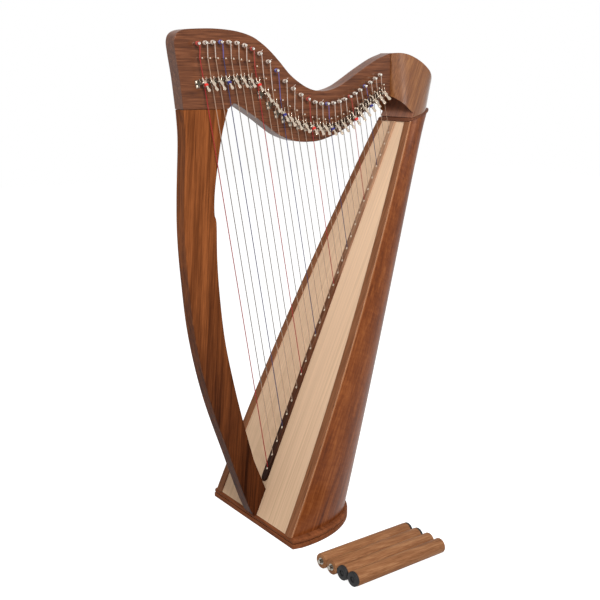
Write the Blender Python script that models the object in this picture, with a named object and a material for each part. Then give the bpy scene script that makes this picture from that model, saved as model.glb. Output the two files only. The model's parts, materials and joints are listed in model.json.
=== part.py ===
"""Lever harp: bowed pillar, round-backed soundbox, 28 strings with a sharpening lever each.

Metres, +Z up. X runs from the pillar back to the player's shoulder. The pins and levers are on
the -Y face of the neck. The origin is the middle of the base's underside.
"""
import math

import bmesh
import bpy
from mathutils import Matrix, Vector

# Overall sizes
HARP_HEIGHT = 0.965           # floor to the top of the neck
DRAWN_HEIGHT = 0.946          # base top to neck top in the side drawing below
BOARD_WIDTH_BOTTOM = 0.282
BOARD_WIDTH_TOP = 0.096
BOX_DEPTH_BOTTOM = 0.196      # soundboard to back, level, at the base
BOX_DEPTH_TOP = 0.064         # the same at the collar

# Base: two stacked plates with round noses
BASE_PLATE = 0.0094
BASE_NOSE = 0.0040
BASE_SIDE_LIP = 0.0135
BASE_BACK_LIP = 0.0090
BASE_FRONT_CORNER_IN = 0.004
BASE_STRAIGHT = 0.020         # the rounded back starts this far behind the front edge
BASE_STEPS = 20
BOARD_SETBACK = 0.003         # base front edge to the soundboard's foot

# Soundbox
BOARD_LEAN = math.radians(24.0)
BOARD_THICKNESS = 0.003
BOARD_FLARE = 1.75            # exponent of the soundboard's curved sides
BACK_FLARE = 1.25             # exponent of the back's line
BACK_ROUNDNESS = 2.2          # 2 is an ellipse, more is squarer
SHELL_WALL = 0.005
SHELL_STEPS = 22
SHELL_ROWS = 8
BOARD_STEPS = 14
RIM_THICKNESS = 0.0025
RIM_WIDTH_BOTTOM = 0.019
RIM_WIDTH_TOP = 0.015
LINER = 0.012
BOTTOM_BLOCK = 0.018
BLOCK_CLEAR = 0.0012           # glue room between the block and the curved shell
INNER_RIB_WIDTH = 0.030
INNER_RIB_THICKNESS = 0.005
SOUND_HOLES = 4
SOUND_HOLE_WIDTH = 0.052
SOUND_HOLE_HEIGHT = 0.080
SOUND_HOLE_FIRST = 0.20       # shares of the soundboard's length
SOUND_HOLE_LAST = 0.80
SOUND_HOLE_SIDES = 14

# Collar bead and shoulder
COLLAR_TILT = math.radians(14.0)
COLLAR_THICKNESS = 0.0055
COLLAR_PROUD = 0.002
COLLAR_NOSE = 0.0018
NECK_END = 322                # in the side drawing, where the cap begins
CAP_PROUD = 0.001             # beyond the soundboard's width at the collar
CAP_BACK_SLOPE = 0.13
CAP_SIDES = 32
ARCH_HEIGHT = 0.052
ARCH_SPREAD = 0.002           # the arch runs out past the cap's sides
SHOULDER_BOARD = 0.004
ARCH_STEPS = 16

# Pillar and neck
FRAME_THICKNESS = 0.033
FRAME_EDGE = 0.0022
NOSE_PROUD = 0.0010           # the cap stands this far outside the neck's faces

# Strings
STRINGS = 28
FIRST_STRING_UP = 0.094       # along the soundboard from its foot, drawn size
RIB_SPACING_BASS = 0.0296
RIB_SPACING_TREBLE = 0.0243
STRING_RADIUS_BASS = 0.00065
STRING_RADIUS_TREBLE = 0.00035
STRING_OFF_NECK = 0.015
STRING_RIB_START = 0.068
STRING_RIB_THICKNESS = 0.003
STRING_RIB_WIDTH_BOTTOM = 0.020
STRING_RIB_WIDTH_TOP = 0.0145

# Pins
PIN_SIDES = 6
TUNING_PIN_RADIUS = 0.0026
TUNING_PIN_OUT = 0.0195
TUNING_SQUARE = 0.0045
TUNING_SQUARE_OUT = 0.012
BRIDGE_PIN_RADIUS = 0.0015
BRIDGE_PIN_OUT = 0.020
PIN_ROOT = 0.002

# Levers, measured across the string, out from the neck and up along the string
LEVER_ROOM = 0.0133           # closest string spacing that the levers need at full width
PIVOT_BELOW_FRET = 0.0045
LEVER_BELOW_PIN = [(1, 0.0425), (4, 0.0383), (8, 0.0296), (11, 0.0235), (14, 0.0192), (17, 0.0145),
                   (19, 0.0194), (22, 0.0180), (28, 0.0175)]  # string number, pivot to bridge pin
PIVOT_OUTSIDE_STRING = 0.0034
FRET_SIZE = 0.0022
LEVER_REST_DROP = math.radians(53.0)  # handle below square to the string
FORK_RISE = math.radians(84.0)        # prongs above square to the string
FORK_REACH = 0.0093
HANDLE_REACH = 0.020
FORK_HALF = 0.0019            # half thickness at the fork, and at the handle
HANDLE_HALF = 0.0011
SLOT_END = 0.0018
CHEEK_INNER = 0.0017
CHEEK_OUTER = 0.0028
PIVOT_RADIUS = 0.0010
PIVOT_CLEAR = 0.00045
CAM_REACH = 0.0024
CAM_HALF = 0.0009
BRACKET_ARM_INNER = 0.0031
BRACKET_ARM_OUTER = 0.0045
BRACKET_EYE = 0.0026          # half the arm's width at the pivot, and at the plate
BRACKET_FOOT = 0.0042
BRACKET_PLATE_OUTER = 0.0110
BRACKET_PLATE = 0.0012
BRACKET_ABOVE = 0.005
BRACKET_BELOW = 0.009

# Screw-in legs, laid beside the harp
LEG_RADIUS = 0.0143
LEG_LENGTH = 0.215
LEG_TURN = math.radians(3.5)  # the row lies a little askew to the base
LEG_SPACE = 0.0004            # between two legs
LEG_ROW_AWAY = 0.0855         # from the base's side to the first leg's middle
LEG_LEFT_END = 0.003          # behind the base's front edge
LEG_SIDES = 18
FOOT_THICKNESS = 0.005
FOOT_INSET = 0.0005           # the rubber foot is this much thinner all round
STUD_RADIUS = 0.004
STUD_OUT = 0.006
STUD_IN = 0.024
SOCKET_RADIUS = 0.007
SOCKET_INSET = 0.030          # from the base's edges
SOCKET_SIDES = 12
SOCKET_BACK = 0.70            # share of the base's depth and half width

GAP = 0.0003                  # between pieces that touch

# What follows from them
BASE_TOP = 2 * BASE_PLATE + GAP
SIDE = (HARP_HEIGHT - BASE_TOP) / DRAWN_HEIGHT
BASE_DEPTH = BOARD_SETBACK + BOX_DEPTH_BOTTOM + BOARD_THICKNESS + BASE_BACK_LIP
BASE_HALF_WIDTH = BOARD_WIDTH_BOTTOM / 2 + BASE_SIDE_LIP
BASE_FRONT = -BASE_DEPTH / 2
BOARD_LENGTH = 0.849 * SIDE
BOARD_RUN = math.tan(BOARD_LEAN)
BOARD_BACK = BOARD_THICKNESS / math.cos(BOARD_LEAN)
HALF_FRAME = FRAME_THICKNESS / 2
CAP_HALF_WIDTH = BOARD_WIDTH_TOP / 2 + CAP_PROUD
PIVOT_HOLE = PIVOT_RADIUS + PIVOT_CLEAR
SOCKET_BORE = STUD_RADIUS + GAP
FOOT_RADIUS = LEG_RADIUS - FOOT_INSET
LEG_PITCH = 2 * LEG_RADIUS + LEG_SPACE
LEG_FIRST_Y = -(BASE_HALF_WIDTH + LEG_ROW_AWAY)

# Side drawing, in millimetres behind the base's front edge and above the base's top
SEAM = 806                    # the neck sits on the pillar here
PILLAR_FRONT = [(-144.5, SEAM), (-141.5, 750), (-146, 650), (-146.5, 577), (-141, 496),
                (-128, 384), (-99.5, 261), (-54, 129), (-21, 37)]
PILLAR_TOE = -4.5
PILLAR_HEEL_UP = 51
PILLAR_INNER = [(-2, 118), (-27, 207), (-48, 292), (-65, 375), (-75, 460), (-79.5, 531),
                (-80, 598), (-84, 617), (-83, 655), (-76, 706), (-66, 762), (-53, SEAM)]
NECK_FRONT = [(-144.5, SEAM), (-151, 860), (-158.5, 906), (-160, 924), (-155, 936), (-142, 942.5)]
NECK_TOP = [(-118, 945), (-79, 946), (-38, 943), (-6, 935.5), (15, 925), (36, 910), (58, 890),
            (80, 868), (103, 852), (126, 841), (149, 836.5), (172, 838), (196, 845.5),
            (220, 858.5), (244, 873), (269, 887), (294, 899.5), (NECK_END, 909)]
NECK_BOTTOM = [(NECK_END, 827), (296, 818), (271, 805), (246, 786), (221, 769.5), (197, 757),
               (173, 748.5), (149, 742.5), (126, 741), (103, 742), (80, 747), (57, 756),
               (35, 770), (13, 785), (-8, 798), (-29, 809), (-42, 814)]
NECK_CROOK = [(-49, 811), (-53, SEAM)]
SHOULDER_TOP = [(NECK_END, 909), (336, 909.5), (350, 906.5), (365, 899.5), (380, 890), (395, 877.5),
                (408, 863), (418, 847), (424, 830), (426, 812), (425, 780)]

# String number with its pin's place in the side drawing
BRIDGE_PINS = [(1, -116, 894.7), (4, -68.4, 894.6), (6, -36.6, 893.1), (7, -20.4, 890.6), (8, -3.7, 881.6),
               (9, 15.8, 860), (11, 52.1, 820.9), (13, 83.7, 801.7), (15, 119.3, 788.4), (17, 149.1, 784),
               (19, 178, 788.5), (22, 220, 803.5), (25, 256, 827.5), (28, 290.5, 848)]
TUNING_PINS = [(1, -121, 919.5), (3, -91.5, 922), (6, -42.6, 921.7), (8, -10.6, 912.1), (9, 5.4, 904),
               (11, 41.9, 874.2), (12, 60.3, 855.1), (14, 95.8, 830.3), (16, 128.1, 816.2), (18, 156.7, 812.9),
               (20, 185.1, 816.9), (23, 222.6, 831.7), (28, 283.2, 867)]


def start_clean():
    for thing in list(bpy.data.objects):
        bpy.data.objects.remove(thing, do_unlink=True)


def finish(name, colour, roughness, metallic=0.0):
    material = bpy.data.materials.new(name)
    material.use_nodes = True
    shader = material.node_tree.nodes["Principled BSDF"]
    shader.inputs["Base Color"].default_value = (*colour, 1.0)
    shader.inputs["Roughness"].default_value = roughness
    shader.inputs["Metallic"].default_value = metallic
    return material


def add_object(name, mesh, material, smooth_angle=30):
    if material:
        mesh.materials.clear()
        mesh.materials.append(material)
    mesh.shade_smooth()
    mesh.set_sharp_from_angle(angle=math.radians(smooth_angle))
    thing = bpy.data.objects.new(name, mesh)
    bpy.context.collection.objects.link(thing)
    return thing


def mesh_from(name, points, faces):
    """A mesh with all its faces turned outwards."""
    mesh = bpy.data.meshes.new(name)
    mesh.from_pydata([tuple(point) for point in points], [], faces)
    work = bmesh.new()
    work.from_mesh(mesh)
    bmesh.ops.recalc_face_normals(work, faces=work.faces)
    work.to_mesh(mesh)
    work.free()
    return mesh


def loft(rings, closed_ends=True):
    """Points and faces of a closed form through rings that have equal numbers of points."""
    count = len(rings[0])
    points = [point for ring in rings for point in ring]
    faces = []
    for row in range(len(rings) - 1):
        for step in range(count):
            here = row * count + step
            after = row * count + (step + 1) % count
            faces.append((here, after, after + count, here + count))
    if closed_ends:
        faces.append(tuple(range(count)))
        faces.append(tuple(range((len(rings) - 1) * count, len(rings) * count)))
    return points, faces


def bodies_mesh(name, bodies):
    """One mesh of several closed bodies that don't touch."""
    points, faces = [], []
    for body_points, body_faces in bodies:
        start = len(points)
        points += body_points
        faces += [tuple(start + corner for corner in face) for face in body_faces]
    return mesh_from(name, points, faces)


def add_modifier(thing, kind, **settings):
    modifier = thing.modifiers.new(kind.title(), kind)
    for key, value in settings.items():
        setattr(modifier, key, value)
    return modifier


def round_edges(thing, width, segments=1, angle=50):
    add_modifier(thing, "BEVEL", width=width, segments=segments, limit_method="ANGLE",
                 angle_limit=math.radians(angle))


def combine(thing, operation, mesh_or_object):
    """Boolean with a helper that stays hidden."""
    helper = mesh_or_object
    if isinstance(mesh_or_object, bpy.types.Mesh):
        helper = add_object(mesh_or_object.name, mesh_or_object, None)
    helper.hide_render = True
    helper.display_type = "WIRE"
    add_modifier(thing, "BOOLEAN", operation=operation, solver="EXACT", object=helper)


def side_point(x, z, y=0.0):
    """A point of the side drawing, in the harp's own frame."""
    return Vector((BASE_FRONT + x / 1000 * SIDE, y, BASE_TOP + z / 1000 * SIDE))


def curve_through(knots, steps):
    """Smooth line through the knots, the last one left out."""
    line = []
    for index in range(len(knots) - 1):
        before = knots[max(index - 1, 0)]
        start, end = knots[index], knots[index + 1]
        after = knots[min(index + 2, len(knots) - 1)]
        for step in range(steps):
            t = step / steps
            line.append(tuple(
                0.5 * (2 * b + (c - a) * t + (2 * a - 5 * b + 4 * c - d) * t * t
                       + (3 * b - a - 3 * c + d) * t ** 3)
                for a, b, c, d in zip(before, start, end, after)))
    return line


def value_at(knots, number):
    """Smooth line through knots of (string number, value, ...), read at a number."""
    for index in range(len(knots) - 1):
        start, end = knots[index], knots[index + 1]
        if number <= end[0]:
            break
    before = knots[max(index - 1, 0)]
    after = knots[min(index + 2, len(knots) - 1)]
    span = end[0] - start[0]
    t = (number - start[0]) / span
    place = []
    for axis in range(1, len(start)):
        slope_in = (end[axis] - before[axis]) / (end[0] - before[0]) * span
        slope_out = (after[axis] - start[axis]) / (after[0] - start[0]) * span
        place.append((2 * t ** 3 - 3 * t * t + 1) * start[axis] + (t ** 3 - 2 * t * t + t) * slope_in
                     + (3 * t * t - 2 * t ** 3) * end[axis] + (t ** 3 - t * t) * slope_out)
    return place


def slab(name, outline, thickness, material):
    """A board cut to a side outline, with its edges eased."""
    rings = [[point + Vector((0, y, 0)) for point in outline] for y in (-thickness / 2, thickness / 2)]
    thing = add_object(name, mesh_from(name, *loft(rings)), material)
    round_edges(thing, FRAME_EDGE)
    return thing


def prism_along(centre, axis, across, radius, length, sides, turn=0.0):
    """Straight round or square bar from centre along axis."""
    other = axis.cross(across)
    rings = []
    for along in (0.0, length):
        rings.append([centre + axis * along + radius * (
            across * math.cos(turn + 2 * math.pi * k / sides)
            + other * math.sin(turn + 2 * math.pi * k / sides)) for k in range(sides)])
    return loft(rings)


def board_x(z):
    """Soundboard's front face at a height."""
    return BASE_FRONT + BOARD_SETBACK + (z - BASE_TOP) * BOARD_RUN


def board_share(z):
    """How far up the soundboard a height is, 0 at the base and 1 at the collar."""
    return (z - BASE_TOP) / math.cos(BOARD_LEAN) / BOARD_LENGTH


def board_point(up, y, off=0.0):
    """A point so far up the soundboard, y across it, and off in front of its face."""
    foot = Vector((BASE_FRONT + BOARD_SETBACK, y, BASE_TOP))
    along = Vector((math.sin(BOARD_LEAN), 0, math.cos(BOARD_LEAN)))
    front = Vector((-math.cos(BOARD_LEAN), 0, math.sin(BOARD_LEAN)))
    return foot + along * up + front * off


def half_width(share):
    share = max(share, 0.0)
    return BOARD_WIDTH_BOTTOM / 2 - (BOARD_WIDTH_BOTTOM - BOARD_WIDTH_TOP) / 2 * share ** BOARD_FLARE


def box_depth(share):
    rest = max(1 - share, 0.0)
    return BOX_DEPTH_TOP + (BOX_DEPTH_BOTTOM - BOX_DEPTH_TOP) * rest ** BACK_FLARE


def shell_xy(theta, z, grow=0.0):
    """Outer face of the round back: theta runs from one edge of the soundboard to the other."""
    share = board_share(z)
    power = 2 / BACK_ROUNDNESS
    depth = box_depth(share) + grow
    width = half_width(share) + grow
    x = board_x(z) + BOARD_BACK + GAP + depth * abs(math.cos(theta)) ** power
    y = width * abs(math.sin(theta)) ** power * math.copysign(1, theta)
    return x, y


def collar_z(x, above=0.0):
    """Height of the tilted collar plane at x; above is measured square to it."""
    front = board_point(BOARD_LENGTH, 0)
    return front.z + (x - front.x) * math.tan(COLLAR_TILT) + above / math.cos(COLLAR_TILT)


def shell_point(theta, z_low, rise, grow=0.0, below=0.0):
    """Point of the shell between a level foot and the tilted collar plane."""
    z = z_low
    for _ in range(12):
        x, y = shell_xy(theta, z, grow)
        z = z_low + rise * (collar_z(x, -below) - z_low)
    x, y = shell_xy(theta, z, grow)
    return Vector((x, y, z))


def thetas(steps):
    """Angles round the back, closer together near the soundboard's edges."""
    return [math.pi / 2 * math.sin(math.pi / 2 * (2 * k / steps - 1)) for k in range(steps + 1)]


def make_base(wood):
    """Two stacked plates, straight in front and round behind, with sockets for the legs."""
    back = BASE_DEPTH - BASE_STRAIGHT
    centre = BASE_FRONT + BASE_STRAIGHT
    outline = [(BASE_FRONT, -BASE_HALF_WIDTH + BASE_FRONT_CORNER_IN)]
    for step in range(BASE_STEPS + 1):
        theta = math.pi * (step / BASE_STEPS - 0.5)
        outline.append((centre + back * math.cos(theta), BASE_HALF_WIDTH * math.sin(theta)))
    outline.append((BASE_FRONT, BASE_HALF_WIDTH - BASE_FRONT_CORNER_IN))
    for name, low in (("base_lower", 0.0), ("base_upper", BASE_PLATE + GAP)):
        rings = [[Vector((x, y, z)) for x, y in outline] for z in (low, low + BASE_PLATE)]
        plate = add_object(name, mesh_from(name, *loft(rings)), wood)
        round_edges(plate, BASE_NOSE, segments=2)
        if name == "base_lower":
            lower = plate
    return lower


def socket_places():
    """Legs screw in near the front corners and near the back."""
    front_x = BASE_FRONT + SOCKET_INSET
    front_y = BASE_HALF_WIDTH - SOCKET_INSET
    back_x = BASE_FRONT + SOCKET_BACK * BASE_DEPTH
    back_y = SOCKET_BACK * BASE_HALF_WIDTH - SOCKET_INSET
    return [(front_x, -front_y), (front_x, front_y), (back_x, -back_y), (back_x, back_y)]


def make_sockets(lower, metal):
    """Metal sleeves in the lower plate that the legs screw into."""
    up = Vector((0, 0, 1))
    across = Vector((1, 0, 0))
    sides = SOCKET_SIDES
    holes = []
    for number, (x, y) in enumerate(socket_places(), 1):
        rings = []
        for radius, z in ((SOCKET_RADIUS, GAP), (SOCKET_RADIUS, BASE_PLATE - GAP),
                          (SOCKET_BORE, BASE_PLATE - GAP), (SOCKET_BORE, GAP)):
            rings.append([Vector((x + radius * math.cos(2 * math.pi * k / sides),
                                  y + radius * math.sin(2 * math.pi * k / sides), z))
                          for k in range(sides)])
        points, faces = loft(rings, closed_ends=False)
        faces += [(3 * sides + k, 3 * sides + (k + 1) % sides, (k + 1) % sides, k) for k in range(sides)]
        add_object(f"leg_socket_{number}", mesh_from("socket", points, faces), metal)
        holes.append(prism_along(Vector((x, y, -BASE_PLATE)), up, across, SOCKET_RADIUS + GAP,
                                 2 * BASE_PLATE + GAP / 2, sides))
    combine(lower, "DIFFERENCE", bodies_mesh("socket_holes", holes))


def rim_width(share):
    return RIM_WIDTH_BOTTOM + (RIM_WIDTH_TOP - RIM_WIDTH_BOTTOM) * share


def board_strip(name, edges, low, high, steps, material):
    """A strip on the soundboard: edges(share) gives its two sides, low and high its faces."""
    rings = []
    spare = 4 * BOARD_THICKNESS
    for step in range(steps + 1):
        share = step / steps
        up = share * (BOARD_LENGTH + 2 * spare) - spare
        one, other = edges(share)
        rings.append([board_point(up, one, low), board_point(up, other, low),
                      board_point(up, other, high), board_point(up, one, high)])
    return add_object(name, mesh_from(name, *loft(rings)), material)


def trim_to_box(thing):
    """Cuts a strip's foot level with the base's top and its head to the tilted collar."""
    reach = 1.0
    rings = [[], []]
    for ring, y in zip(rings, (-reach, reach)):
        for x, z in ((-reach, collar_z(-reach, -GAP)), (reach, collar_z(reach, -GAP)),
                     (reach, 2 * reach + HARP_HEIGHT), (-reach, 2 * reach + HARP_HEIGHT)):
            ring.append(Vector((x, y, z)))
    corners = ((-reach, -reach), (reach, -reach), (reach, reach), (-reach, reach))
    foot = [[Vector((x, y, z)) for x, y in corners] for z in (-reach, BASE_TOP + GAP)]
    combine(thing, "DIFFERENCE", bodies_mesh(thing.name + "_trim", [loft(rings), loft(foot)]))


def make_soundboard(spruce, wood):
    board = board_strip("soundboard", lambda s: (-half_width(s), half_width(s)),
                        -BOARD_THICKNESS, 0.0, BOARD_STEPS, spruce)
    trim_to_box(board)
    for name, sign in (("board_rim_left", -1), ("board_rim_right", 1)):
        rim = board_strip(name, lambda s, sign=sign: (sign * (half_width(s) - rim_width(s)),
                                                      sign * half_width(s)),
                          GAP, GAP + RIM_THICKNESS, BOARD_STEPS, wood)
        trim_to_box(rim)


def make_shell(wood):
    """The bent back: open in front, its top cut to the tilted collar."""
    rings = []
    low = BASE_TOP + GAP
    for row in range(SHELL_ROWS + 1):
        rise = row / SHELL_ROWS
        outer = [shell_point(t, low, rise, 0.0, GAP) for t in thetas(SHELL_STEPS)]
        inner = [shell_point(t, low, rise, -SHELL_WALL, GAP) for t in thetas(SHELL_STEPS)]
        rings.append(outer + inner[::-1])
    shell = add_object("soundbox_shell", mesh_from("soundbox_shell", *loft(rings)), wood)
    holes = []
    for number in range(SOUND_HOLES):
        share = SOUND_HOLE_FIRST + (SOUND_HOLE_LAST - SOUND_HOLE_FIRST) * number / (SOUND_HOLES - 1)
        z = BASE_TOP + share * BOARD_LENGTH * math.cos(BOARD_LEAN)
        shrink = half_width(share) / half_width(0) * 0.5 + 0.5
        start = board_x(z) + 0.4 * box_depth(share)
        ring = []
        for k in range(SOUND_HOLE_SIDES):
            angle = 2 * math.pi * k / SOUND_HOLE_SIDES
            ring.append(Vector((start, SOUND_HOLE_WIDTH / 2 * shrink * math.cos(angle),
                                z + SOUND_HOLE_HEIGHT / 2 * shrink * math.sin(angle))))
        reach = Vector((box_depth(0), 0, 0))
        holes.append(loft([ring, [point + reach for point in ring]]))
    combine(shell, "DIFFERENCE", bodies_mesh("sound_holes", holes))


def make_inside(wood):
    """The pieces inside the soundbox: bottom block, linings and the inner string rib."""
    low = BASE_TOP + GAP
    grow = -SHELL_WALL - BLOCK_CLEAR
    rings = []
    for z in (low, low + BOTTOM_BLOCK):
        front = board_x(z) + BOARD_BACK + 3 * GAP
        rings.append([Vector((max(x, front), y, z)) for x, y in
                      (shell_xy(t, z, grow) for t in thetas(SHELL_STEPS))])
    add_object("bottom_block", mesh_from("bottom_block", *loft(rings)), wood)
    block_top = (BOTTOM_BLOCK + LINER) / math.cos(BOARD_LEAN)
    behind = -BOARD_THICKNESS - GAP

    def inner_strip(name, one, other, thickness, end):
        rings = []
        for step in range(13):
            up = block_top + (end - block_top) * step / 12
            share = up / BOARD_LENGTH
            sides = (one(share), other(share))
            rings.append([board_point(up, sides[0], behind - thickness),
                          board_point(up, sides[1], behind - thickness),
                          board_point(up, sides[1], behind), board_point(up, sides[0], behind)])
        add_object(name, mesh_from(name, *loft(rings)), wood)

    inner_strip("inner_string_rib", lambda s: -INNER_RIB_WIDTH / 2, lambda s: INNER_RIB_WIDTH / 2,
                INNER_RIB_THICKNESS, BOARD_LENGTH - 0.004)
    clear = SHELL_WALL + 0.003
    for name, sign in (("lining_left", -1), ("lining_right", 1)):
        inner_strip(name, lambda s, sign=sign: sign * (half_width(s) - clear - LINER),
                    lambda s, sign=sign: sign * (half_width(s) - clear), LINER * 0.6,
                    BOARD_LENGTH - 0.012)


def make_collar(wood):
    """Thin plate between the soundbox and the shoulder, proud all round."""
    rings = []
    for above in (0.0, COLLAR_THICKNESS):
        ring = []
        for theta in thetas(SHELL_STEPS):
            ring.append(shell_point(theta, BASE_TOP, 1.0, COLLAR_PROUD, -above))
        for end in (-1, 0):
            corner = ring[-1] if end else ring[0]
            x = board_x(corner.z) - RIM_THICKNESS - COLLAR_PROUD
            ring.append(Vector((x, corner.y, collar_z(x, above))))
        rings.append(ring)
    collar = add_object("collar_bead", mesh_from("collar_bead", *loft(rings)), wood)
    round_edges(collar, COLLAR_NOSE)


def egg_ring(z):
    """Level section through the shoulder: blunt towards the neck, round behind."""
    centre = board_x(z) + 0.001
    nose_x = side_point(NECK_END, 0).x
    nose_half = HALF_FRAME + NOSE_PROUD
    front = max(centre - nose_x, 0.012) / math.sqrt(1 - (nose_half / CAP_HALF_WIDTH) ** 2)
    collar = board_point(BOARD_LENGTH, 0)
    back = shell_xy(0.0, collar.z)[0] + (z - collar.z) * CAP_BACK_SLOPE - centre + 0.001
    ring = []
    for step in range(CAP_SIDES):
        angle = 2 * math.pi * (step + 0.5) / CAP_SIDES
        reach = front if math.cos(angle) < 0 else back
        ring.append(Vector((centre + reach * math.cos(angle), CAP_HALF_WIDTH * math.sin(angle), z)))
    return ring


def arch_line(grow):
    """Arch under the shoulder's overhang, as points of y and z."""
    half = CAP_HALF_WIDTH + ARCH_SPREAD + grow
    foot_z = board_point(BOARD_LENGTH, 0).z
    angles = [math.pi * step / ARCH_STEPS for step in range(ARCH_STEPS + 1)]
    return [(half * math.cos(a), foot_z + (ARCH_HEIGHT + grow) * math.sin(a)) for a in angles]


def make_shoulder(cap_wood, dark_wood):
    """Carved cap behind the neck, with an arched recess and the front board in it."""
    low = collar_z(BASE_FRONT + 0.25) - 0.02
    high = HARP_HEIGHT + 0.02
    levels = [low + (high - low) * k / 6 for k in range(7)]
    rings = [egg_ring(z) for z in levels]
    cap = add_object("shoulder_cap", mesh_from("shoulder_cap", *loft(rings)), cap_wood)
    nose_x = side_point(NECK_END, 0).x + GAP
    above = COLLAR_THICKNESS + GAP
    profile = [side_point(x, z) for x, z in curve_through(SHOULDER_TOP, 3)]
    profile = [Vector((max(p.x, nose_x), 0, p.z)) for p in profile if p.z > collar_z(p.x, above) + GAP]
    far_x = profile[-1].x
    profile += [Vector((far_x, 0, collar_z(far_x, above))), Vector((nose_x, 0, collar_z(nose_x, above)))]
    rings = [[p + Vector((0, y, 0)) for p in profile] for y in (-0.1, 0.1)]
    combine(cap, "INTERSECT", mesh_from("shoulder_profile", *loft(rings)))
    line = arch_line(0.0)
    line += [(line[-1][0], low), (line[0][0], low)]
    recess = [[Vector((nose_x - 1.0, y, z)) for y, z in line],
              [Vector((board_x(z) + SHOULDER_BOARD + GAP, y, z)) for y, z in line]]
    combine(cap, "DIFFERENCE", mesh_from("shoulder_arch", *loft(recess)))
    foot_z = collar_z(board_point(BOARD_LENGTH, 0).x + SHOULDER_BOARD, above) + 2 * GAP
    side = CAP_HALF_WIDTH - 2 * GAP
    line = [(max(-side, min(side, y)), max(z, foot_z)) for y, z in arch_line(-GAP)]
    board = [[Vector((board_x(z) + off, y, z)) for y, z in line] for off in (0.0, SHOULDER_BOARD)]
    add_object("shoulder_front_board", mesh_from("shoulder_front_board", *loft(board)), dark_wood)


def make_pillar(wood):
    outline = [side_point(x, z) for x, z in curve_through(PILLAR_FRONT + [(PILLAR_TOE, 0)], 3)]
    lift = Vector((0, 0, GAP))
    outline = [point - (lift if point.z > BASE_TOP + 0.5 * SEAM / 1000 * SIDE else lift * 0)
               for point in outline]
    clear = GAP / math.cos(BOARD_LEAN)
    toe = side_point(PILLAR_TOE, 0)
    heel_z = BASE_TOP + PILLAR_HEEL_UP / 1000 * SIDE
    seat_low = Vector((board_x(BASE_TOP + GAP) - clear, 0, BASE_TOP + GAP))
    seat_high = Vector((board_x(heel_z) - clear, 0, heel_z))
    outline += [Vector((toe.x, 0, BASE_TOP + GAP)), seat_low, seat_high]
    inner = [side_point(x, z) for x, z in curve_through(PILLAR_INNER, 2)]
    top = side_point(*PILLAR_INNER[-1]) - lift
    outline += inner + [top]
    slab("pillar", outline, FRAME_THICKNESS, wood)


def string_points(number):
    """Tuning pin, bridge pin and rib end of a string."""
    share = (number - 1) / (STRINGS - 1)
    radius = STRING_RADIUS_BASS + (STRING_RADIUS_TREBLE - STRING_RADIUS_BASS) * share
    out = -HALF_FRAME - STRING_OFF_NECK
    knots_scale = (STRINGS - 1) / 27
    key = 1 + (number - 1) / knots_scale
    tuning = side_point(*value_at(TUNING_PINS, key), y=out)
    bridge = side_point(*value_at(BRIDGE_PINS, key), y=out)
    tuning.x += TUNING_PIN_RADIUS + radius + GAP
    bridge.x -= BRIDGE_PIN_RADIUS + radius + GAP
    steps = key - 1
    up = FIRST_STRING_UP + steps * RIB_SPACING_BASS - (
        RIB_SPACING_BASS - RIB_SPACING_TREBLE) * steps * (steps - 1) / 2 / 26
    rib = board_point(up * SIDE, 0.0, GAP + STRING_RIB_THICKNESS * 0.3)
    return tuning, bridge, rib, radius


def make_strings(rib_wood):
    """The string rib on the soundboard, with the strings that are knotted under it."""
    start = STRING_RIB_START * SIDE
    end = BOARD_LENGTH + STRING_RIB_THICKNESS
    rings = []
    for step in range(14):
        t = step / 13
        up = start + (end - start) * t
        width = STRING_RIB_WIDTH_BOTTOM + (STRING_RIB_WIDTH_TOP - STRING_RIB_WIDTH_BOTTOM) * t
        half = width / 2 * (0.55 if step == 0 else 1.0)
        if step == 1:
            up = start + width / 2
        rings.append([board_point(up, -half, GAP), board_point(up, half, GAP),
                      board_point(up, half * 0.8, GAP + STRING_RIB_THICKNESS),
                      board_point(up, -half * 0.8, GAP + STRING_RIB_THICKNESS)])
    rib = add_object("strings_and_rib", mesh_from("strings_and_rib", *loft(rings)), rib_wood)
    trim_to_box(rib)
    cords = []
    for number in range(1, STRINGS + 1):
        tuning, bridge, low, radius = string_points(number)
        along = (low - tuning).normalized()
        across = along.cross(Vector((0, 1, 0))).normalized()
        other = along.cross(across)
        tube = []
        for point in (tuning, bridge, low):
            tube.append([point + radius * (across * math.cos(2 * math.pi * k / 4)
                                           + other * math.sin(2 * math.pi * k / 4)) for k in range(4)])
        cords.append(loft(tube))
    combine(rib, "UNION", bodies_mesh("strings", cords))


def closest_strings():
    """Smallest distance between neighbouring strings, square to them, at the bridge pins."""
    gaps = []
    for number in range(1, STRINGS):
        _, bridge, low, _ = string_points(number)
        _, after, _, _ = string_points(number + 1)
        across = Vector((-(low - bridge).z, 0, (low - bridge).x)).normalized()
        gaps.append((after - bridge).dot(across))
    return min(gaps)


LEVER_NARROWING = 1.0         # set below, once the strings are known


def lever_place(number):
    """Pivot, outward, across and upward directions of a lever, and its pivot's height off the neck."""
    _, bridge, low, _ = string_points(number)
    along = low - bridge
    down = Vector((along.x, 0, along.z)).normalized()
    across = Vector((-down.z, 0, down.x))
    outward = Vector((0, -1, 0))
    distance = value_at(LEVER_BELOW_PIN, 1 + 27 * (number - 1) / (STRINGS - 1))[0]
    on_string = bridge + along.normalized() * distance
    pivot = on_string + outward * PIVOT_OUTSIDE_STRING
    return pivot, outward, across, -down, -pivot.y - HALF_FRAME


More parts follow.
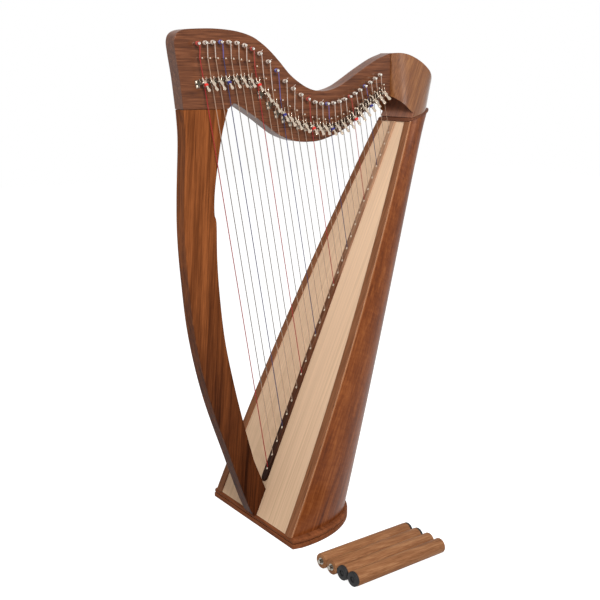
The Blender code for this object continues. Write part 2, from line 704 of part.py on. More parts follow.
def lever_mesh():
    """Forked lever about its pivot: X outward, Y across the string, Z up along it."""
    narrow = LEVER_NARROWING
    outer = CHEEK_OUTER * narrow
    inner = CHEEK_INNER * narrow
    handle = Vector((math.cos(LEVER_REST_DROP), 0, -math.sin(LEVER_REST_DROP)))
    tip = Vector((-math.cos(FORK_RISE), 0, math.sin(FORK_RISE))) * FORK_REACH
    root = handle * SLOT_END
    end = handle * HANDLE_REACH
    prong = (tip - root).normalized()
    over_handle = Vector((-handle.z, 0, handle.x))
    over_prong = Vector((prong.z, 0, -prong.x))
    over_root = (over_handle + over_prong).normalized()
    rings = []
    for side in (-1, 1):
        tips = tip + over_prong * side * FORK_HALF
        roots = root + over_root * side * FORK_HALF
        ends = end + over_handle * side * HANDLE_HALF
        rings.append([tips + Vector((0, y, 0)) for y in (inner, outer)]
                     + [roots + Vector((0, outer, 0)), ends + Vector((0, outer, 0)),
                        ends - Vector((0, outer, 0)), roots - Vector((0, outer, 0))]
                     + [tips - Vector((0, y, 0)) for y in (outer, inner)]
                     + [roots - Vector((0, inner, 0)), roots + Vector((0, inner, 0))])
    points, faces = loft(rings, closed_ends=False)
    corners = len(rings[0])
    for start in (0, corners):
        faces += [(start, start + 1, start + 2, start + 9), (start + 5, start + 6, start + 7, start + 8),
                  (start + 2, start + 3, start + 4, start + 5, start + 8, start + 9)]
    body = add_object("lever_body", mesh_from("lever_body", points, faces), None)
    pin_from = -(BRACKET_ARM_OUTER + BRACKET_ARM_INNER * 3) / 4 * narrow
    pin_to = (CHEEK_INNER + CHEEK_OUTER) / 2 * narrow
    pin = prism_along(Vector((0, pin_from, 0)), Vector((0, 1, 0)), Vector((1, 0, 0)),
                      PIVOT_RADIUS, pin_to - pin_from, PIN_SIDES)
    combine(body, "UNION", bodies_mesh("lever_pin", [pin]))
    width = (inner + outer) / 2
    corners = ((-CAM_HALF, -width), (CAM_HALF, -width), (CAM_HALF, width), (-CAM_HALF, width))
    cam = [[Vector((x, y, z)) for x, y in corners]
           for z in (-GAP, math.sqrt(CAM_REACH ** 2 - CAM_HALF ** 2))]
    combine(body, "UNION", bodies_mesh("lever_cam", [loft(cam)]))
    view = bpy.context.evaluated_depsgraph_get()
    view.update()
    mesh = bpy.data.meshes.new_from_object(body.evaluated_get(view))
    for helper in ("lever_body", "lever_pin", "lever_cam"):
        bpy.data.objects.remove(bpy.data.objects[helper], do_unlink=True)
    mesh.name = "lever"
    return mesh


def make_levers(metal, red, blue):
    """One lever for each string; the C levers are red and the F levers blue."""
    shared = lever_mesh()
    marked = {}
    for name, finish_used in (("plain", metal), ("red", red), ("blue", blue)):
        marked[name] = shared.copy()
        marked[name].materials.clear()
        marked[name].materials.append(finish_used)
        marked[name].shade_smooth()
        marked[name].set_sharp_from_angle(angle=math.radians(30))
    for number in range(1, STRINGS + 1):
        note = (number - 1) % 7
        colour = "red" if note == 0 else "blue" if note == 3 else "plain"
        pivot, outward, across, up, _ = lever_place(number)
        lever = bpy.data.objects.new(f"lever_{number:02d}", marked[colour])
        bpy.context.collection.objects.link(lever)
        turn = Matrix((outward, across, up)).transposed().to_4x4()
        lever.matrix_world = Matrix.Translation(pivot) @ turn


def bracket_plate(number):
    pivot, outward, across, up, height = lever_place(number)
    narrow = LEVER_NARROWING
    rings = []
    for off in (-PIN_ROOT, BRACKET_PLATE):
        base = pivot + outward * (off - height)
        rings.append([base + across * (side * narrow) + up * level for side, level in (
            (-BRACKET_PLATE_OUTER, -BRACKET_BELOW), (-BRACKET_ARM_INNER, -BRACKET_BELOW),
            (-BRACKET_ARM_INNER, BRACKET_ABOVE), (-BRACKET_PLATE_OUTER, BRACKET_ABOVE))])
    return loft(rings)


def bracket_arm(number):
    """Upright cheek that carries the lever's pivot in a hole."""
    pivot, outward, across, up, height = lever_place(number)
    narrow = LEVER_NARROWING
    root = -(height - BRACKET_PLATE * 0.5)
    outer = [(BRACKET_EYE, BRACKET_EYE / 2), (0.0, BRACKET_EYE), (root, BRACKET_FOOT),
             (root, -BRACKET_FOOT), (0.0, -BRACKET_EYE), (BRACKET_EYE, -BRACKET_EYE / 2)]
    sides = len(outer)
    hole = [(PIVOT_HOLE * math.cos(a), PIVOT_HOLE * math.sin(a)) for a in
            (math.pi * (2 * k + 1) / sides for k in range(sides))]
    points = []
    for side in (-BRACKET_ARM_OUTER, -BRACKET_ARM_INNER):
        for ring in (outer, hole):
            points += [pivot + across * (side * narrow) + outward * o + up * u for o, u in ring]
    faces = []
    for k in range(sides):
        n = (k + 1) % sides
        faces.append((k, n, sides + n, sides + k))
        faces.append((2 * sides + k, 2 * sides + n, 3 * sides + n, 3 * sides + k))
        faces.append((k, n, 2 * sides + n, 2 * sides + k))
        faces.append((sides + k, sides + n, 3 * sides + n, 3 * sides + k))
    return points, faces


def fret_post(number):
    """Post under the string, which the lever presses the string on."""
    pivot, outward, across, up, height = lever_place(number)
    _, _, _, radius = string_points(number)
    top = height - PIVOT_OUTSIDE_STRING - radius - 2 * GAP
    base = pivot + up * PIVOT_BELOW_FRET - outward * height
    half = FRET_SIZE / 2
    rings = [[base + outward * off + across * a + up * u for a, u in (
        (-half, -half), (half, -half), (half, half), (-half, half))] for off in (-PIN_ROOT / 2, top)]
    return loft(rings)


def make_neck(wood):
    outline = [side_point(x, z) for x, z in curve_through(NECK_FRONT + NECK_TOP, 2)]
    outline.append(side_point(*NECK_TOP[-1]))
    outline += [side_point(x, z) for x, z in curve_through(NECK_BOTTOM, 2)]
    outline += [side_point(x, z) for x, z in curve_through([NECK_BOTTOM[-1]] + NECK_CROOK, 2)]
    outline.append(side_point(*NECK_CROOK[-1]))
    neck = slab("neck", outline, FRAME_THICKNESS, wood)
    face = Vector((0, -HALF_FRAME, 0))
    outward = Vector((0, -1, 0))
    across = Vector((1, 0, 0))
    fixed = []
    for number in range(1, STRINGS + 1):
        tuning, bridge, _, radius = string_points(number)
        tuning.x -= TUNING_PIN_RADIUS + radius + GAP
        bridge.x += BRIDGE_PIN_RADIUS + radius + GAP
        root = Vector((tuning.x, -HALF_FRAME + PIN_ROOT, tuning.z))
        fixed.append(prism_along(root, outward, across, TUNING_PIN_RADIUS,
                                 TUNING_PIN_OUT + PIN_ROOT, PIN_SIDES))
        far = Vector((tuning.x, HALF_FRAME - PIN_ROOT, tuning.z))
        fixed.append(prism_along(far, -outward, across, TUNING_SQUARE / math.sqrt(2),
                                 TUNING_SQUARE_OUT + PIN_ROOT, 4, math.pi / 4))
        root = Vector((bridge.x, -HALF_FRAME + PIN_ROOT, bridge.z))
        fixed.append(prism_along(root, outward, across, BRIDGE_PIN_RADIUS, BRIDGE_PIN_OUT + PIN_ROOT,
                                 PIN_SIDES))
        fixed.append(bracket_plate(number))
        fixed.append(fret_post(number))
    combine(neck, "UNION", bodies_mesh("neck_hardware", fixed))
    arms = [bracket_arm(number) for number in range(1, STRINGS + 1)]
    combine(neck, "UNION", bodies_mesh("bracket_arms", arms))


def make_legs(wood, rubber, metal):
    """Four legs in a row on the floor; the far pair lies with its studs towards the front."""
    along = Vector((math.cos(LEG_TURN), math.sin(LEG_TURN), 0))
    across = Vector((-math.sin(LEG_TURN), math.cos(LEG_TURN), 0))
    centre_z = LEG_RADIUS * math.cos(math.pi / LEG_SIDES)
    first = Vector((BASE_FRONT + LEG_LEFT_END, LEG_FIRST_Y, centre_z))
    turn = math.pi / LEG_SIDES
    for number in range(1, 5):
        studs_in_front = number <= 2
        start = first - across * LEG_PITCH * (number - 1)
        if not studs_in_front:
            start += along * (FOOT_THICKNESS + GAP)
        leg = add_object(f"leg_{number}", mesh_from("leg", *prism_along(
            start, along, across, LEG_RADIUS, LEG_LENGTH, LEG_SIDES, turn)), wood)
        round_edges(leg, 0.0008, angle=60)
        foot_along = LEG_LENGTH + GAP if studs_in_front else -GAP - FOOT_THICKNESS
        add_object(f"leg_foot_{number}", mesh_from("leg_foot", *prism_along(
            start + along * foot_along, along, across, FOOT_RADIUS, FOOT_THICKNESS,
            LEG_SIDES, turn)), rubber)
        if studs_in_front:
            stud_along = -STUD_OUT
            hole_along = -0.002
        else:
            stud_along = LEG_LENGTH - STUD_IN
            hole_along = LEG_LENGTH - STUD_IN - GAP
        add_object(f"leg_stud_{number}", mesh_from("leg_stud", *prism_along(
            start + along * stud_along, along, across, STUD_RADIUS, STUD_OUT + STUD_IN, 12)), metal)
        hole = prism_along(start + along * hole_along, along, across, STUD_RADIUS + GAP,
                           STUD_IN + GAP + 0.002, 12)
        combine(leg, "DIFFERENCE", bodies_mesh(f"stud_hole_{number}", [hole]))


start_clean()
LEVER_NARROWING = min(1.0, closest_strings() / LEVER_ROOM)
walnut = finish("walnut", (0.17, 0.075, 0.04), 0.45)
shell_walnut = finish("shell_walnut", (0.22, 0.09, 0.045), 0.42)
cap_walnut = finish("cap_walnut", (0.30, 0.15, 0.08), 0.30)
dark_walnut = finish("dark_walnut", (0.06, 0.035, 0.025), 0.5)
spruce = finish("spruce", (0.68, 0.50, 0.33), 0.5)
leg_walnut = finish("leg_walnut", (0.32, 0.17, 0.09), 0.5)
nickel = finish("nickel", (0.75, 0.72, 0.66), 0.25, 1.0)
red_mark = finish("red_mark", (0.60, 0.03, 0.02), 0.4)
blue_mark = finish("blue_mark", (0.03, 0.03, 0.25), 0.4)
rubber = finish("rubber", (0.02, 0.02, 0.02), 0.8)

base_lower = make_base(walnut)
make_sockets(base_lower, nickel)
make_soundboard(spruce, walnut)
make_shell(shell_walnut)
make_inside(spruce)
make_collar(walnut)
make_shoulder(cap_walnut, dark_walnut)
make_pillar(walnut)
make_neck(walnut)
make_strings(dark_walnut)
make_levers(nickel, red_mark, blue_mark)
make_legs(leg_walnut, rubber, nickel)
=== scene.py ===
"""Small lever harp, finished to match a studio photograph.

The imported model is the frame: metres, +Z up, +X from the pillar back to the player, pins and
levers on the -Y side. Curves that part.py draws coarsely are drawn again here with more points.
"""

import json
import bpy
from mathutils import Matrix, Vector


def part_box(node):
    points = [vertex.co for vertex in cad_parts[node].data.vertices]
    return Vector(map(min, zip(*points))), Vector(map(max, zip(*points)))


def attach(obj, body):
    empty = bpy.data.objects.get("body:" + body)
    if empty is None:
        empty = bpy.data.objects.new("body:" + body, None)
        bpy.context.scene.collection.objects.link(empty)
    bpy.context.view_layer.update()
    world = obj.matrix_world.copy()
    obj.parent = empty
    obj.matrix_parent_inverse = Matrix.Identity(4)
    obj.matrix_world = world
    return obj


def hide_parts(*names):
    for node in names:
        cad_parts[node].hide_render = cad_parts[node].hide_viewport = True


bl_info = {
    "name": "Lever harp",
    "version": (1, 0, 0),
    "blender": (4, 5, 0),
    "location": "3D View > Sidebar > Harp",
    "description": "Builds the visible pieces and finishes of a small lever harp",
    "category": "Object",
}

from math import copysign, cos, pi, radians, sin, sqrt, tan

import bmesh
import bpy
from bpy.props import FloatProperty, FloatVectorProperty, PointerProperty
from bpy.types import Operator, Panel, PropertyGroup
from mathutils import Matrix, Vector

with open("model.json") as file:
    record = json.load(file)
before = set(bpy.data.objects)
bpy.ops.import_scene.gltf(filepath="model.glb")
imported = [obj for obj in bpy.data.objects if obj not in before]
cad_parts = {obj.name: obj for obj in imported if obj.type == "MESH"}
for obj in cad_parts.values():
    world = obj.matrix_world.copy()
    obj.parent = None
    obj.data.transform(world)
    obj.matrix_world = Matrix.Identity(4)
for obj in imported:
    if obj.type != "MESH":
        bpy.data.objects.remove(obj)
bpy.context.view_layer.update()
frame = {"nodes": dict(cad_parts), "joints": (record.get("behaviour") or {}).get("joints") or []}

# The harp's sizes, as in part.py
HARP_HEIGHT = 0.965
DRAWN_HEIGHT = 0.946
BOARD_WIDTH_BOTTOM, BOARD_WIDTH_TOP = 0.282, 0.096
BOX_DEPTH_BOTTOM, BOX_DEPTH_TOP = 0.196, 0.064
BASE_PLATE = 0.0094
BASE_SIDE_LIP, BASE_BACK_LIP, BASE_CORNER_IN, BASE_STRAIGHT = 0.0135, 0.009, 0.004, 0.020
BOARD_SETBACK, BOARD_THICKNESS = 0.003, 0.003
BOARD_LEAN, COLLAR_TILT = radians(24.0), radians(14.0)
BOARD_FLARE, BACK_FLARE, BACK_ROUNDNESS = 1.75, 1.25, 2.2
SHELL_WALL = 0.005
RIM_THICKNESS, RIM_WIDTH_BOTTOM, RIM_WIDTH_TOP = 0.0025, 0.019, 0.015
COLLAR_THICKNESS, COLLAR_PROUD = 0.0055, 0.002
CAP_HALF_WIDTH, CAP_BACK_SLOPE, ARCH_HEIGHT, ARCH_SPREAD = 0.049, 0.13, 0.052, 0.002
SHOULDER_BOARD, ARCH_FULLNESS = 0.004, 0.82
FRAME_THICKNESS, NOSE_PROUD = 0.033, 0.001
STRINGS = 28
FIRST_STRING_UP, RIB_SPACING_BASS, RIB_SPACING_TREBLE = 0.094, 0.0296, 0.0243
STRING_RADIUS_BASS, STRING_RADIUS_TREBLE, STRING_OFF_NECK = 0.00065, 0.00035, 0.015
STRING_EXTRA = 0.00024
RIB_START, RIB_THICKNESS, RIB_WIDTH_LOW, RIB_WIDTH_HIGH = 0.068, 0.003, 0.020, 0.0145
TUNING_PIN_RADIUS, TUNING_PIN_OUT = 0.0026, 0.0195
TUNING_SQUARE, TUNING_SQUARE_OUT = 0.0045, 0.012
BRIDGE_PIN_RADIUS, BRIDGE_PIN_OUT = 0.0015, 0.020
LEG_RADIUS, LEG_LENGTH, FOOT_RADIUS, FOOT_THICKNESS = 0.0143, 0.215, 0.0138, 0.005
STUD_RADIUS, STUD_OUT = 0.004, 0.006
LEG_PITCH, LEG_FIRST_Y, LEG_LEFT_END = 0.029, -0.240, 0.003
LEG_TURN = radians(3.5)
PIVOT_OUTSIDE_STRING, PIVOT_BELOW_FRET = 0.0034, 0.0045
REST_DROP, FORK_RISE = radians(53.0), radians(84.0)
GAP = 0.0003
BASE_TOP = 2 * BASE_PLATE + GAP
SIDE = (HARP_HEIGHT - BASE_TOP) / DRAWN_HEIGHT
BASE_DEPTH = BOARD_SETBACK + BOX_DEPTH_BOTTOM + BOARD_THICKNESS + BASE_BACK_LIP
BASE_HALF_WIDTH = BOARD_WIDTH_BOTTOM / 2 + BASE_SIDE_LIP
BASE_FRONT = -BASE_DEPTH / 2
BOARD_LENGTH = 0.849 * SIDE
BOARD_BACK = BOARD_THICKNESS / cos(BOARD_LEAN)
HALF_FRAME, FRAME_BEVEL = FRAME_THICKNESS / 2, 0.0024
OUTWARD = Vector((0, -1, 0))
BOARD_FRONT = Vector((-cos(BOARD_LEAN), 0, sin(BOARD_LEAN)))

# Side drawing, millimetres behind the base's front edge and above its top
SEAM = 806
NECK_END = 322
PILLAR_FRONT = [(-144.5, SEAM), (-141.5, 750), (-146, 650), (-146.5, 577), (-141, 496),
                (-128, 384), (-99.5, 261), (-54, 129), (-21, 37)]
PILLAR_TOE = -4.5
PILLAR_HEEL_UP = 51
PILLAR_INNER = [(-2, 118), (-27, 207), (-48, 292), (-65, 375), (-75, 460), (-79.5, 531),
                (-80, 598), (-84, 617), (-83, 655), (-76, 706), (-66, 762), (-53, SEAM)]
NECK_FRONT = [(-144.5, SEAM), (-151, 860), (-158.5, 906), (-160, 924), (-155, 936), (-142, 942.5)]
NECK_TOP = [(-118, 945), (-79, 946), (-38, 943), (-6, 935.5), (15, 925), (36, 910), (58, 890),
            (80, 868), (103, 852), (126, 841), (149, 836.5), (172, 838), (196, 845.5),
            (220, 858.5), (244, 873), (269, 887), (294, 899.5), (NECK_END, 909)]
NECK_BOTTOM = [(NECK_END, 827), (296, 818), (271, 805), (246, 786), (221, 769.5), (197, 757),
               (173, 748.5), (149, 742.5), (126, 741), (103, 742), (80, 747), (57, 756),
               (35, 770), (13, 785), (-8, 798), (-28, 810), (-41, 816)]
NECK_CROOK = [(-47, 811), (-53, SEAM)]
SHOULDER_TOP = [(NECK_END, 909), (336, 909.5), (350, 906.5), (365, 899.5), (380, 890), (395, 877.5),
                (408, 863), (418, 847), (424, 830), (426, 812), (425, 780)]
BRIDGE_PINS = [(1, -116, 894.7), (4, -68.4, 894.6), (6, -36.6, 893.1), (7, -20.4, 890.6),
               (8, -3.7, 881.6), (9, 15.8, 860), (11, 52.1, 820.9), (13, 83.7, 801.7),
               (15, 119.3, 788.4), (17, 149.1, 784), (19, 178, 788.5), (22, 220, 803.5),
               (25, 256, 827.5), (28, 290.5, 848)]
TUNING_PINS = [(1, -121, 919.5), (3, -91.5, 922), (6, -42.6, 921.7), (8, -10.6, 912.1),
               (9, 5.4, 904), (11, 41.9, 874.2), (12, 60.3, 855.1), (14, 95.8, 830.3),
               (16, 128.1, 816.2), (18, 156.7, 812.9), (20, 185.1, 816.9), (23, 222.6, 831.7),
               (28, 283.2, 867)]
# Cut ends of strings that stand out from a tuning pin: string number and direction in degrees
LOOSE_TAILS = {3: 200, 5: 320, 9: 40, 10: 20, 12: 35, 13: 50, 15: 55, 17: 48, 20: 30, 26: 15}

# Stretches of a plain string drawn lighter as painted bounce light from the wood: metres below its
# bridge pin where wood is behind it, and near the soundboard as a share of the board's half width
BESIDE_NECK = [(1, 0.19), (2, 0.143), (4, 0.095), (8, 0.106), (10, 0.085), (12, 0.066), (15, 0.047),
               (18, 0.035), (22, 0.025), (28, 0.030)]
BESIDE_BOARD = 1.17
STRING_SIDES, COIL_TURNS, COIL_STEPS, RIB_STEPS = 7, 4, 12, 60

# Fittings. A profile is a list of (distance along the axis, radius).
TIP = 0.0003                    # radius that closes a turned end
PIN_SUNK = 0.001
GROOVE_OUTER, GROOVE_INNER, GROOVE_SHARE = 0.0018, 0.0012, 0.84
PLATE_REACH, PLATE_BELOW, PLATE_SUNK = 0.0108, 0.009, 0.0004
PLATE_WIDTH, PLATE_HEIGHT, PLATE_THICKNESS = 0.0077, 0.014, 0.0016
ARM_SIDES, ARM_SUNK, ARM_FOOT = (-0.0045, -0.0031), 0.0006, 0.0042
ARM_EYE = [(0.0026, 0.0011), (0.0019, 0.0020), (0.0008, 0.0026), (-0.0008, 0.0027)]
POST_RADIUS, POST_FOOT = 0.0012, 0.0017
SCREW_REACH, SCREW_SEAT, SCREW_LEVELS = 0.0079, 0.0012, (0.0018, -0.0058)
SCREW_HEAD = [(0, 0.0024), (0.0005, 0.0024), (0.0012, 0.0019), (0.0017, 0.0011), (0.0019, TIP)]
EYELET = [(0, 0.0022), (0.0004, 0.0022), (0.0008, 0.0017), (0.0006, 0.0010), (0.0, 0.0009)]
HANDLE_EDGE = [(0.0012, -0.0028), (0.0066, -0.0028), (0.0090, -0.0018), (0.0118, -0.0016),
               (0.0140, -0.0023), (0.0158, -0.0029), (0.0178, -0.0029), (0.0192, -0.0021),
               (0.0199, -0.0008)]
SLEEVE_EDGE = [(0.0030, -0.00272), (0.0034, -0.0032), (0.0074, -0.0032), (0.0079, -0.00272)]
FORK_LENGTH, HINGE_PIN_RADIUS = 0.0092, 0.0010
HOLE_FIRST, HOLE_SPAN, HOLE_IN = 0.2, 0.6, 0.4   # shares of the board's length, and of the depth
HOLE_HALF_WIDTH, HOLE_HALF_HEIGHT = 0.026, 0.040
SHELL_STEPS, SHELL_ROWS, BEAD_STEPS, BEAD_ROUND = 64, 40, 8, 0.0016
CAP_LEVELS, CAP_SPARE, EGG_PROUD, EGG_LEAST = 24, 0.02, 0.001, 0.012
CAP_CLEAR_X = 0.25              # behind the base's front, where the collar plane is below the cap
SOCKET_HOLE_RADIUS, HOLE_SPARE, BASE_STEPS = 0.0073, 0.01, 96
LEG_END = [(0, TIP), (0, LEG_RADIUS - 0.0012), (0.0004, LEG_RADIUS - 0.0004), (0.0012, LEG_RADIUS)]
THREADS, THREAD_ROOT = 5, 0.86
RUBBER_FOOT = [(0, TIP), (0, FOOT_RADIUS), (0.0036, FOOT_RADIUS), (0.0046, FOOT_RADIUS - 0.0006),
               (0.005, FOOT_RADIUS - 0.0018), (0.005, 0.0062), (0.0044, 0.0056), (0.0030, 0.0054),
               (0.0030, 0.0034), (0.0036, 0.0030), (0.0040, 0.0010), (0.0040, TIP)]

# Woods: name, colour stops (place in the figure, tone on screen) and the settings of wood()
LEAN, ALONG_X, ALONG_Y = (0, -BOARD_LEAN, 0), (0, pi / 2, 0), (pi / 2, 0, 0)
WOODS = {
    "neck": ("neck_walnut", [(0.34, 62, 30, 16), (0.5, 104, 60, 36), (0.66, 142, 88, 58)],
             dict(turn=ALONG_X, width=0.008, stretch=11, pore_share=0.24, roughness=0.42,
                  coat=0.35)),
    # The pillar's height_fade is painted shade and light: darker towards the foot and lighter at
    # the top, as the light falls from above
    "pillar": ("pillar_walnut", [(0.30, 46, 20, 9), (0.46, 84, 43, 21), (0.57, 112, 61, 31),
                                 (0.70, 150, 86, 46)],
               dict(turn=(0, radians(-4), 0), stretch=20, coat=0.03, specular=0.02,
                    height_fade=(0.05, 0.60, 0.12))),
    "base": ("base_walnut", [(0.32, 88, 46, 26), (0.68, 158, 94, 58)],
             dict(turn=ALONG_Y, width=0.010, specular=0.02)),
    "rim": ("rim_walnut", [(0.32, 100, 60, 38), (0.68, 160, 106, 72)],
            dict(turn=LEAN, width=0.006)),
    "shell": ("shell_walnut", [(0.30, 84, 38, 15), (0.5, 126, 66, 31), (0.7, 160, 94, 50)],
              dict(turn=LEAN, width=0.016, stretch=12, figure=0.16, roughness=0.36, coat=0.12)),
    "cap": ("cap_walnut", [(0.30, 88, 46, 20), (0.5, 128, 78, 42), (0.7, 164, 112, 66)],
            dict(turn=(0, radians(-20), 0), width=0.010, stretch=12, roughness=0.34,
                 coat=1.0, coat_roughness=0.16)),
    "dark": ("dark_walnut", [(0.32, 104, 72, 60), (0.68, 176, 112, 80)],
             dict(turn=LEAN, width=0.008, coat=0.4)),
    "collar": ("collar_walnut", [(0.32, 84, 50, 36), (0.68, 136, 84, 60)],
               dict(turn=ALONG_Y, width=0.006)),
    "rib": ("rib_walnut", [(0.18, 34, 14, 6), (0.5, 104, 62, 40), (0.82, 200, 156, 124)],
            dict(turn=LEAN, width=0.006, height_fade=(0.08, 0.80, 0.30))),
    "board_edge": ("board_edge", [(0.32, 146, 90, 58), (0.68, 190, 128, 88)],
                   dict(turn=LEAN, width=0.006, stretch=40)),
    "leg": ("leg_walnut", [(0.30, 104, 62, 38), (0.5, 150, 102, 68), (0.7, 186, 138, 98)],
            dict(turn=ALONG_X, width=0.008, stretch=10, pore_share=0.22, roughness=0.5)),
}
STREAK_SHARE = 0.42                        # of the figure that the fine streaks make
STREAK_STRETCH, PORE_STRETCH = 2.2, 22     # longer than the broad bands, and than they are wide
RIPPLE = (0.02, 0.007)                     # waves of the figure across and along the grain
# The soundboard's three tones are shares of the Spruce setting
SPRUCE_DARK, SPRUCE_LIGHT = (0.72, 0.70, 0.64), 1.25
METALS = {"nickel": ("nickel", (214, 208, 198), 0.20),
          "lever": ("lever_nickel", (216, 199, 180), 0.20),
          "bracket": ("bracket_nickel", (150, 144, 134), 0.22)}
# Plain clear nylon is drawn grey: painted shade for the dark look a clear string has against the
# white
NYLONS = {"nylon": ("nylon_string", (122, 114, 108), 0.96),
          # Plain nylon beside the neck and over the board is lighter: painted light bounced from
          # the wood
          "nylon_warm": ("nylon_string_beside_wood", (190, 158, 134), 0.55),
          # The copies for the run above the bridge pin, its coil and the loose tails are lighter
          # than the plain ones: a painted highlight
          "nylon_high": ("nylon_string_high", (200, 180, 166), 0.92),
          "red": ("red_string", (156, 6, 6), 0.97),
          "red_high": ("red_string_high", (170, 52, 40), 0.95),
          "blue": ("blue_string", (44, 40, 84), 0.97),
          "blue_high": ("blue_string_high", (86, 84, 150), 0.95)}

# Studio: lamps by name, place and size; the camera as solved from the photograph
FLOOR_HALF, FLOOR_GREY, FLOOR_GLOW = 6, 0.50, 0.90
LAMPS = (("key", (-1.0, -2.35, 1.85), 0.6), ("fill", (1.9, -1.2, 1.2), 0.4),
         ("top", (-1.0, -0.5, 2.9), 1.5))
LAMP_TARGET = Vector((0.05, 0, 0.5))
CAMERA_PLACE, CAMERA_SENSOR = (-1.0998, -1.6221, 0.8940), 36.0
# azimuth, pitch and roll
CAMERA_TURN = tuple(radians(turn) for turn in (34.4162, 12.8197, 0.3005))
WHITE = (1, 1, 1, 1)


class HarpFinish(PropertyGroup):
    spruce: FloatVectorProperty(name="Spruce", subtype="COLOR", size=3, min=0, max=1,
                                description="Middle tone of the soundboard",
                                default=(0.82, 0.56, 0.37))
    bump: FloatProperty(name="Grain depth", subtype="DISTANCE", unit="LENGTH", min=0, max=0.001,
                        description="Height of the wood's open pores", default=0.00012)


class HarpStudio(PropertyGroup):
    key_power: FloatProperty(name="Key light", default=56.0, min=0,
                             description="Power of the main lamp, front left, in watts")
    fill_power: FloatProperty(name="Fill light", default=5.0, min=0,
                              description="Power of the lamp on the right, in watts")
    top_power: FloatProperty(name="Top light", default=20.0, min=0,
                             description="Power of the large lamp high on the left, in watts")
    surround: FloatProperty(name="Surround", description="Strength of the room's even light",
                            default=0.36, min=0)
    lens: FloatProperty(name="Lens", description="Focal length of the camera, in millimetres",
                        default=60.593, min=20, max=200)


# Mesh tools

def mesh_from(name, points, faces):
    mesh = bpy.data.meshes.new(name)
    mesh.from_pydata([tuple(point) for point in points], [], faces)
    work = bmesh.new()
    work.from_mesh(mesh)
    bmesh.ops.recalc_face_normals(work, faces=work.faces)
    work.to_mesh(mesh)
    work.free()
    return mesh


def loft(rings, closed_ends=True):
    count = len(rings[0])
    points = [point for ring in rings for point in ring]
    faces = []
    for row in range(len(rings) - 1):
        for step in range(count):
            here = row * count + step
            after = row * count + (step + 1) % count
            faces.append((here, after, after + count, here + count))
    if closed_ends:
        faces.append(tuple(range(count)))
        faces.append(tuple(range((len(rings) - 1) * count, len(rings) * count)))
    return points, faces


def joined(bodies):
    points, faces = [], []
    for body_points, body_faces in bodies:
        start = len(points)
        points += body_points
        faces += [tuple(start + corner for corner in face) for face in body_faces]
    return points, faces


def linked(name, data):
    """A new object in the scene."""
    thing = bpy.data.objects.new(name, data)
    bpy.context.scene.collection.objects.link(thing)
    return thing


def piece(name, shape, material, body="harp", stands_for=(), smooth=35, bevel=0.0, segments=3):
    """A visible piece that rides on a body, from (points, faces) or from a finished mesh."""
    mesh = shape if isinstance(shape, bpy.types.Mesh) else mesh_from(name, *shape)
    thing = linked(name, mesh)
    mesh.materials.clear()
    mesh.materials.append(material)
    mesh.shade_smooth()
    mesh.set_sharp_from_angle(angle=radians(smooth))
    if bevel:
        modifier = thing.modifiers.new("Bevel", "BEVEL")
        modifier.width = bevel
        modifier.segments = segments
        modifier.limit_method = "ANGLE"
        modifier.angle_limit = radians(50)
        modifier.harden_normals = True
    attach(thing, body)
    if stands_for:
        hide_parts(*stands_for)
    return thing


def cut(name, shape, cuts):
    """The mesh of a shape after Booleans, with no helper left behind."""
    thing = linked(name, mesh_from(name, *shape))
    helpers = []
    for operation, cutter in cuts:
        helper = linked(name + "_cutter", mesh_from(name + "_cutter", *cutter))
        helpers.append(helper)
        modifier = thing.modifiers.new("Cut", "BOOLEAN")
        modifier.operation = operation
        modifier.solver = "EXACT"
        modifier.object = helper
    view = bpy.context.evaluated_depsgraph_get()
    view.update()
    mesh = bpy.data.meshes.new_from_object(thing.evaluated_get(view))
    for helper in helpers + [thing]:
        bpy.data.objects.remove(helper, do_unlink=True)
    mesh.name = name
    return mesh


def circle(centre, radius, across, other, sides):
    return [centre + radius * (across * cos(2 * pi * k / sides)
                               + other * sin(2 * pi * k / sides)) for k in range(sides)]


def lathe(centre, axis, profile, sides=16):
    """Turned piece: profile is a list of (distance along the axis, radius)."""
    axis = axis.normalized()
    across = axis.orthogonal().normalized()
    other = axis.cross(across)
    return loft([circle(centre + axis * along, radius, across, other, sides)
                 for along, radius in profile])


def tube(path, radius, sides=STRING_SIDES):
    """Round tube along a path of points."""
    rings = []
    across = None
    for index, point in enumerate(path):
        ahead = path[min(index + 1, len(path) - 1)] - path[max(index - 1, 0)]
        ahead.normalize()
        if across is None:
            across = ahead.orthogonal().normalized()
        across = (across - ahead * across.dot(ahead)).normalized()
        rings.append(circle(point, radius, across, ahead.cross(across), sides))
    return loft(rings)


def straight(start, end, radius):
    return tube([start, start.lerp(end, 0.5), end], radius)


def slab(outline, half):
    """Outline in the XZ plane made solid, half its thickness to each side."""
    return loft([[point + Vector((0, y, 0)) for point in outline] for y in (-half, half)])


def block(corner, edges):
    """Box from a corner and three edge vectors."""
    a, b, c = edges
    low = [corner, corner + a, corner + a + b, corner + b]
    return loft([low, [point + c for point in low]])


# Shapes shared with part.py

def side_point(x, z, y=0.0):
    return Vector((BASE_FRONT + x / 1000 * SIDE, y, BASE_TOP + z / 1000 * SIDE))


def curve_through(knots, steps):
    line = []
    for index in range(len(knots) - 1):
        before = knots[max(index - 1, 0)]
        start, end = knots[index], knots[index + 1]
        after = knots[min(index + 2, len(knots) - 1)]
        for step in range(steps):
            t = step / steps
            line.append(tuple(
                0.5 * (2 * b + (c - a) * t + (2 * a - 5 * b + 4 * c - d) * t * t
                       + (3 * b - a - 3 * c + d) * t ** 3)
                for a, b, c, d in zip(before, start, end, after)))
    return line


def drawn(knots, steps):
    """Curve through knots of the side drawing, as points in metres."""
    return [side_point(x, z) for x, z in curve_through(knots, steps)]


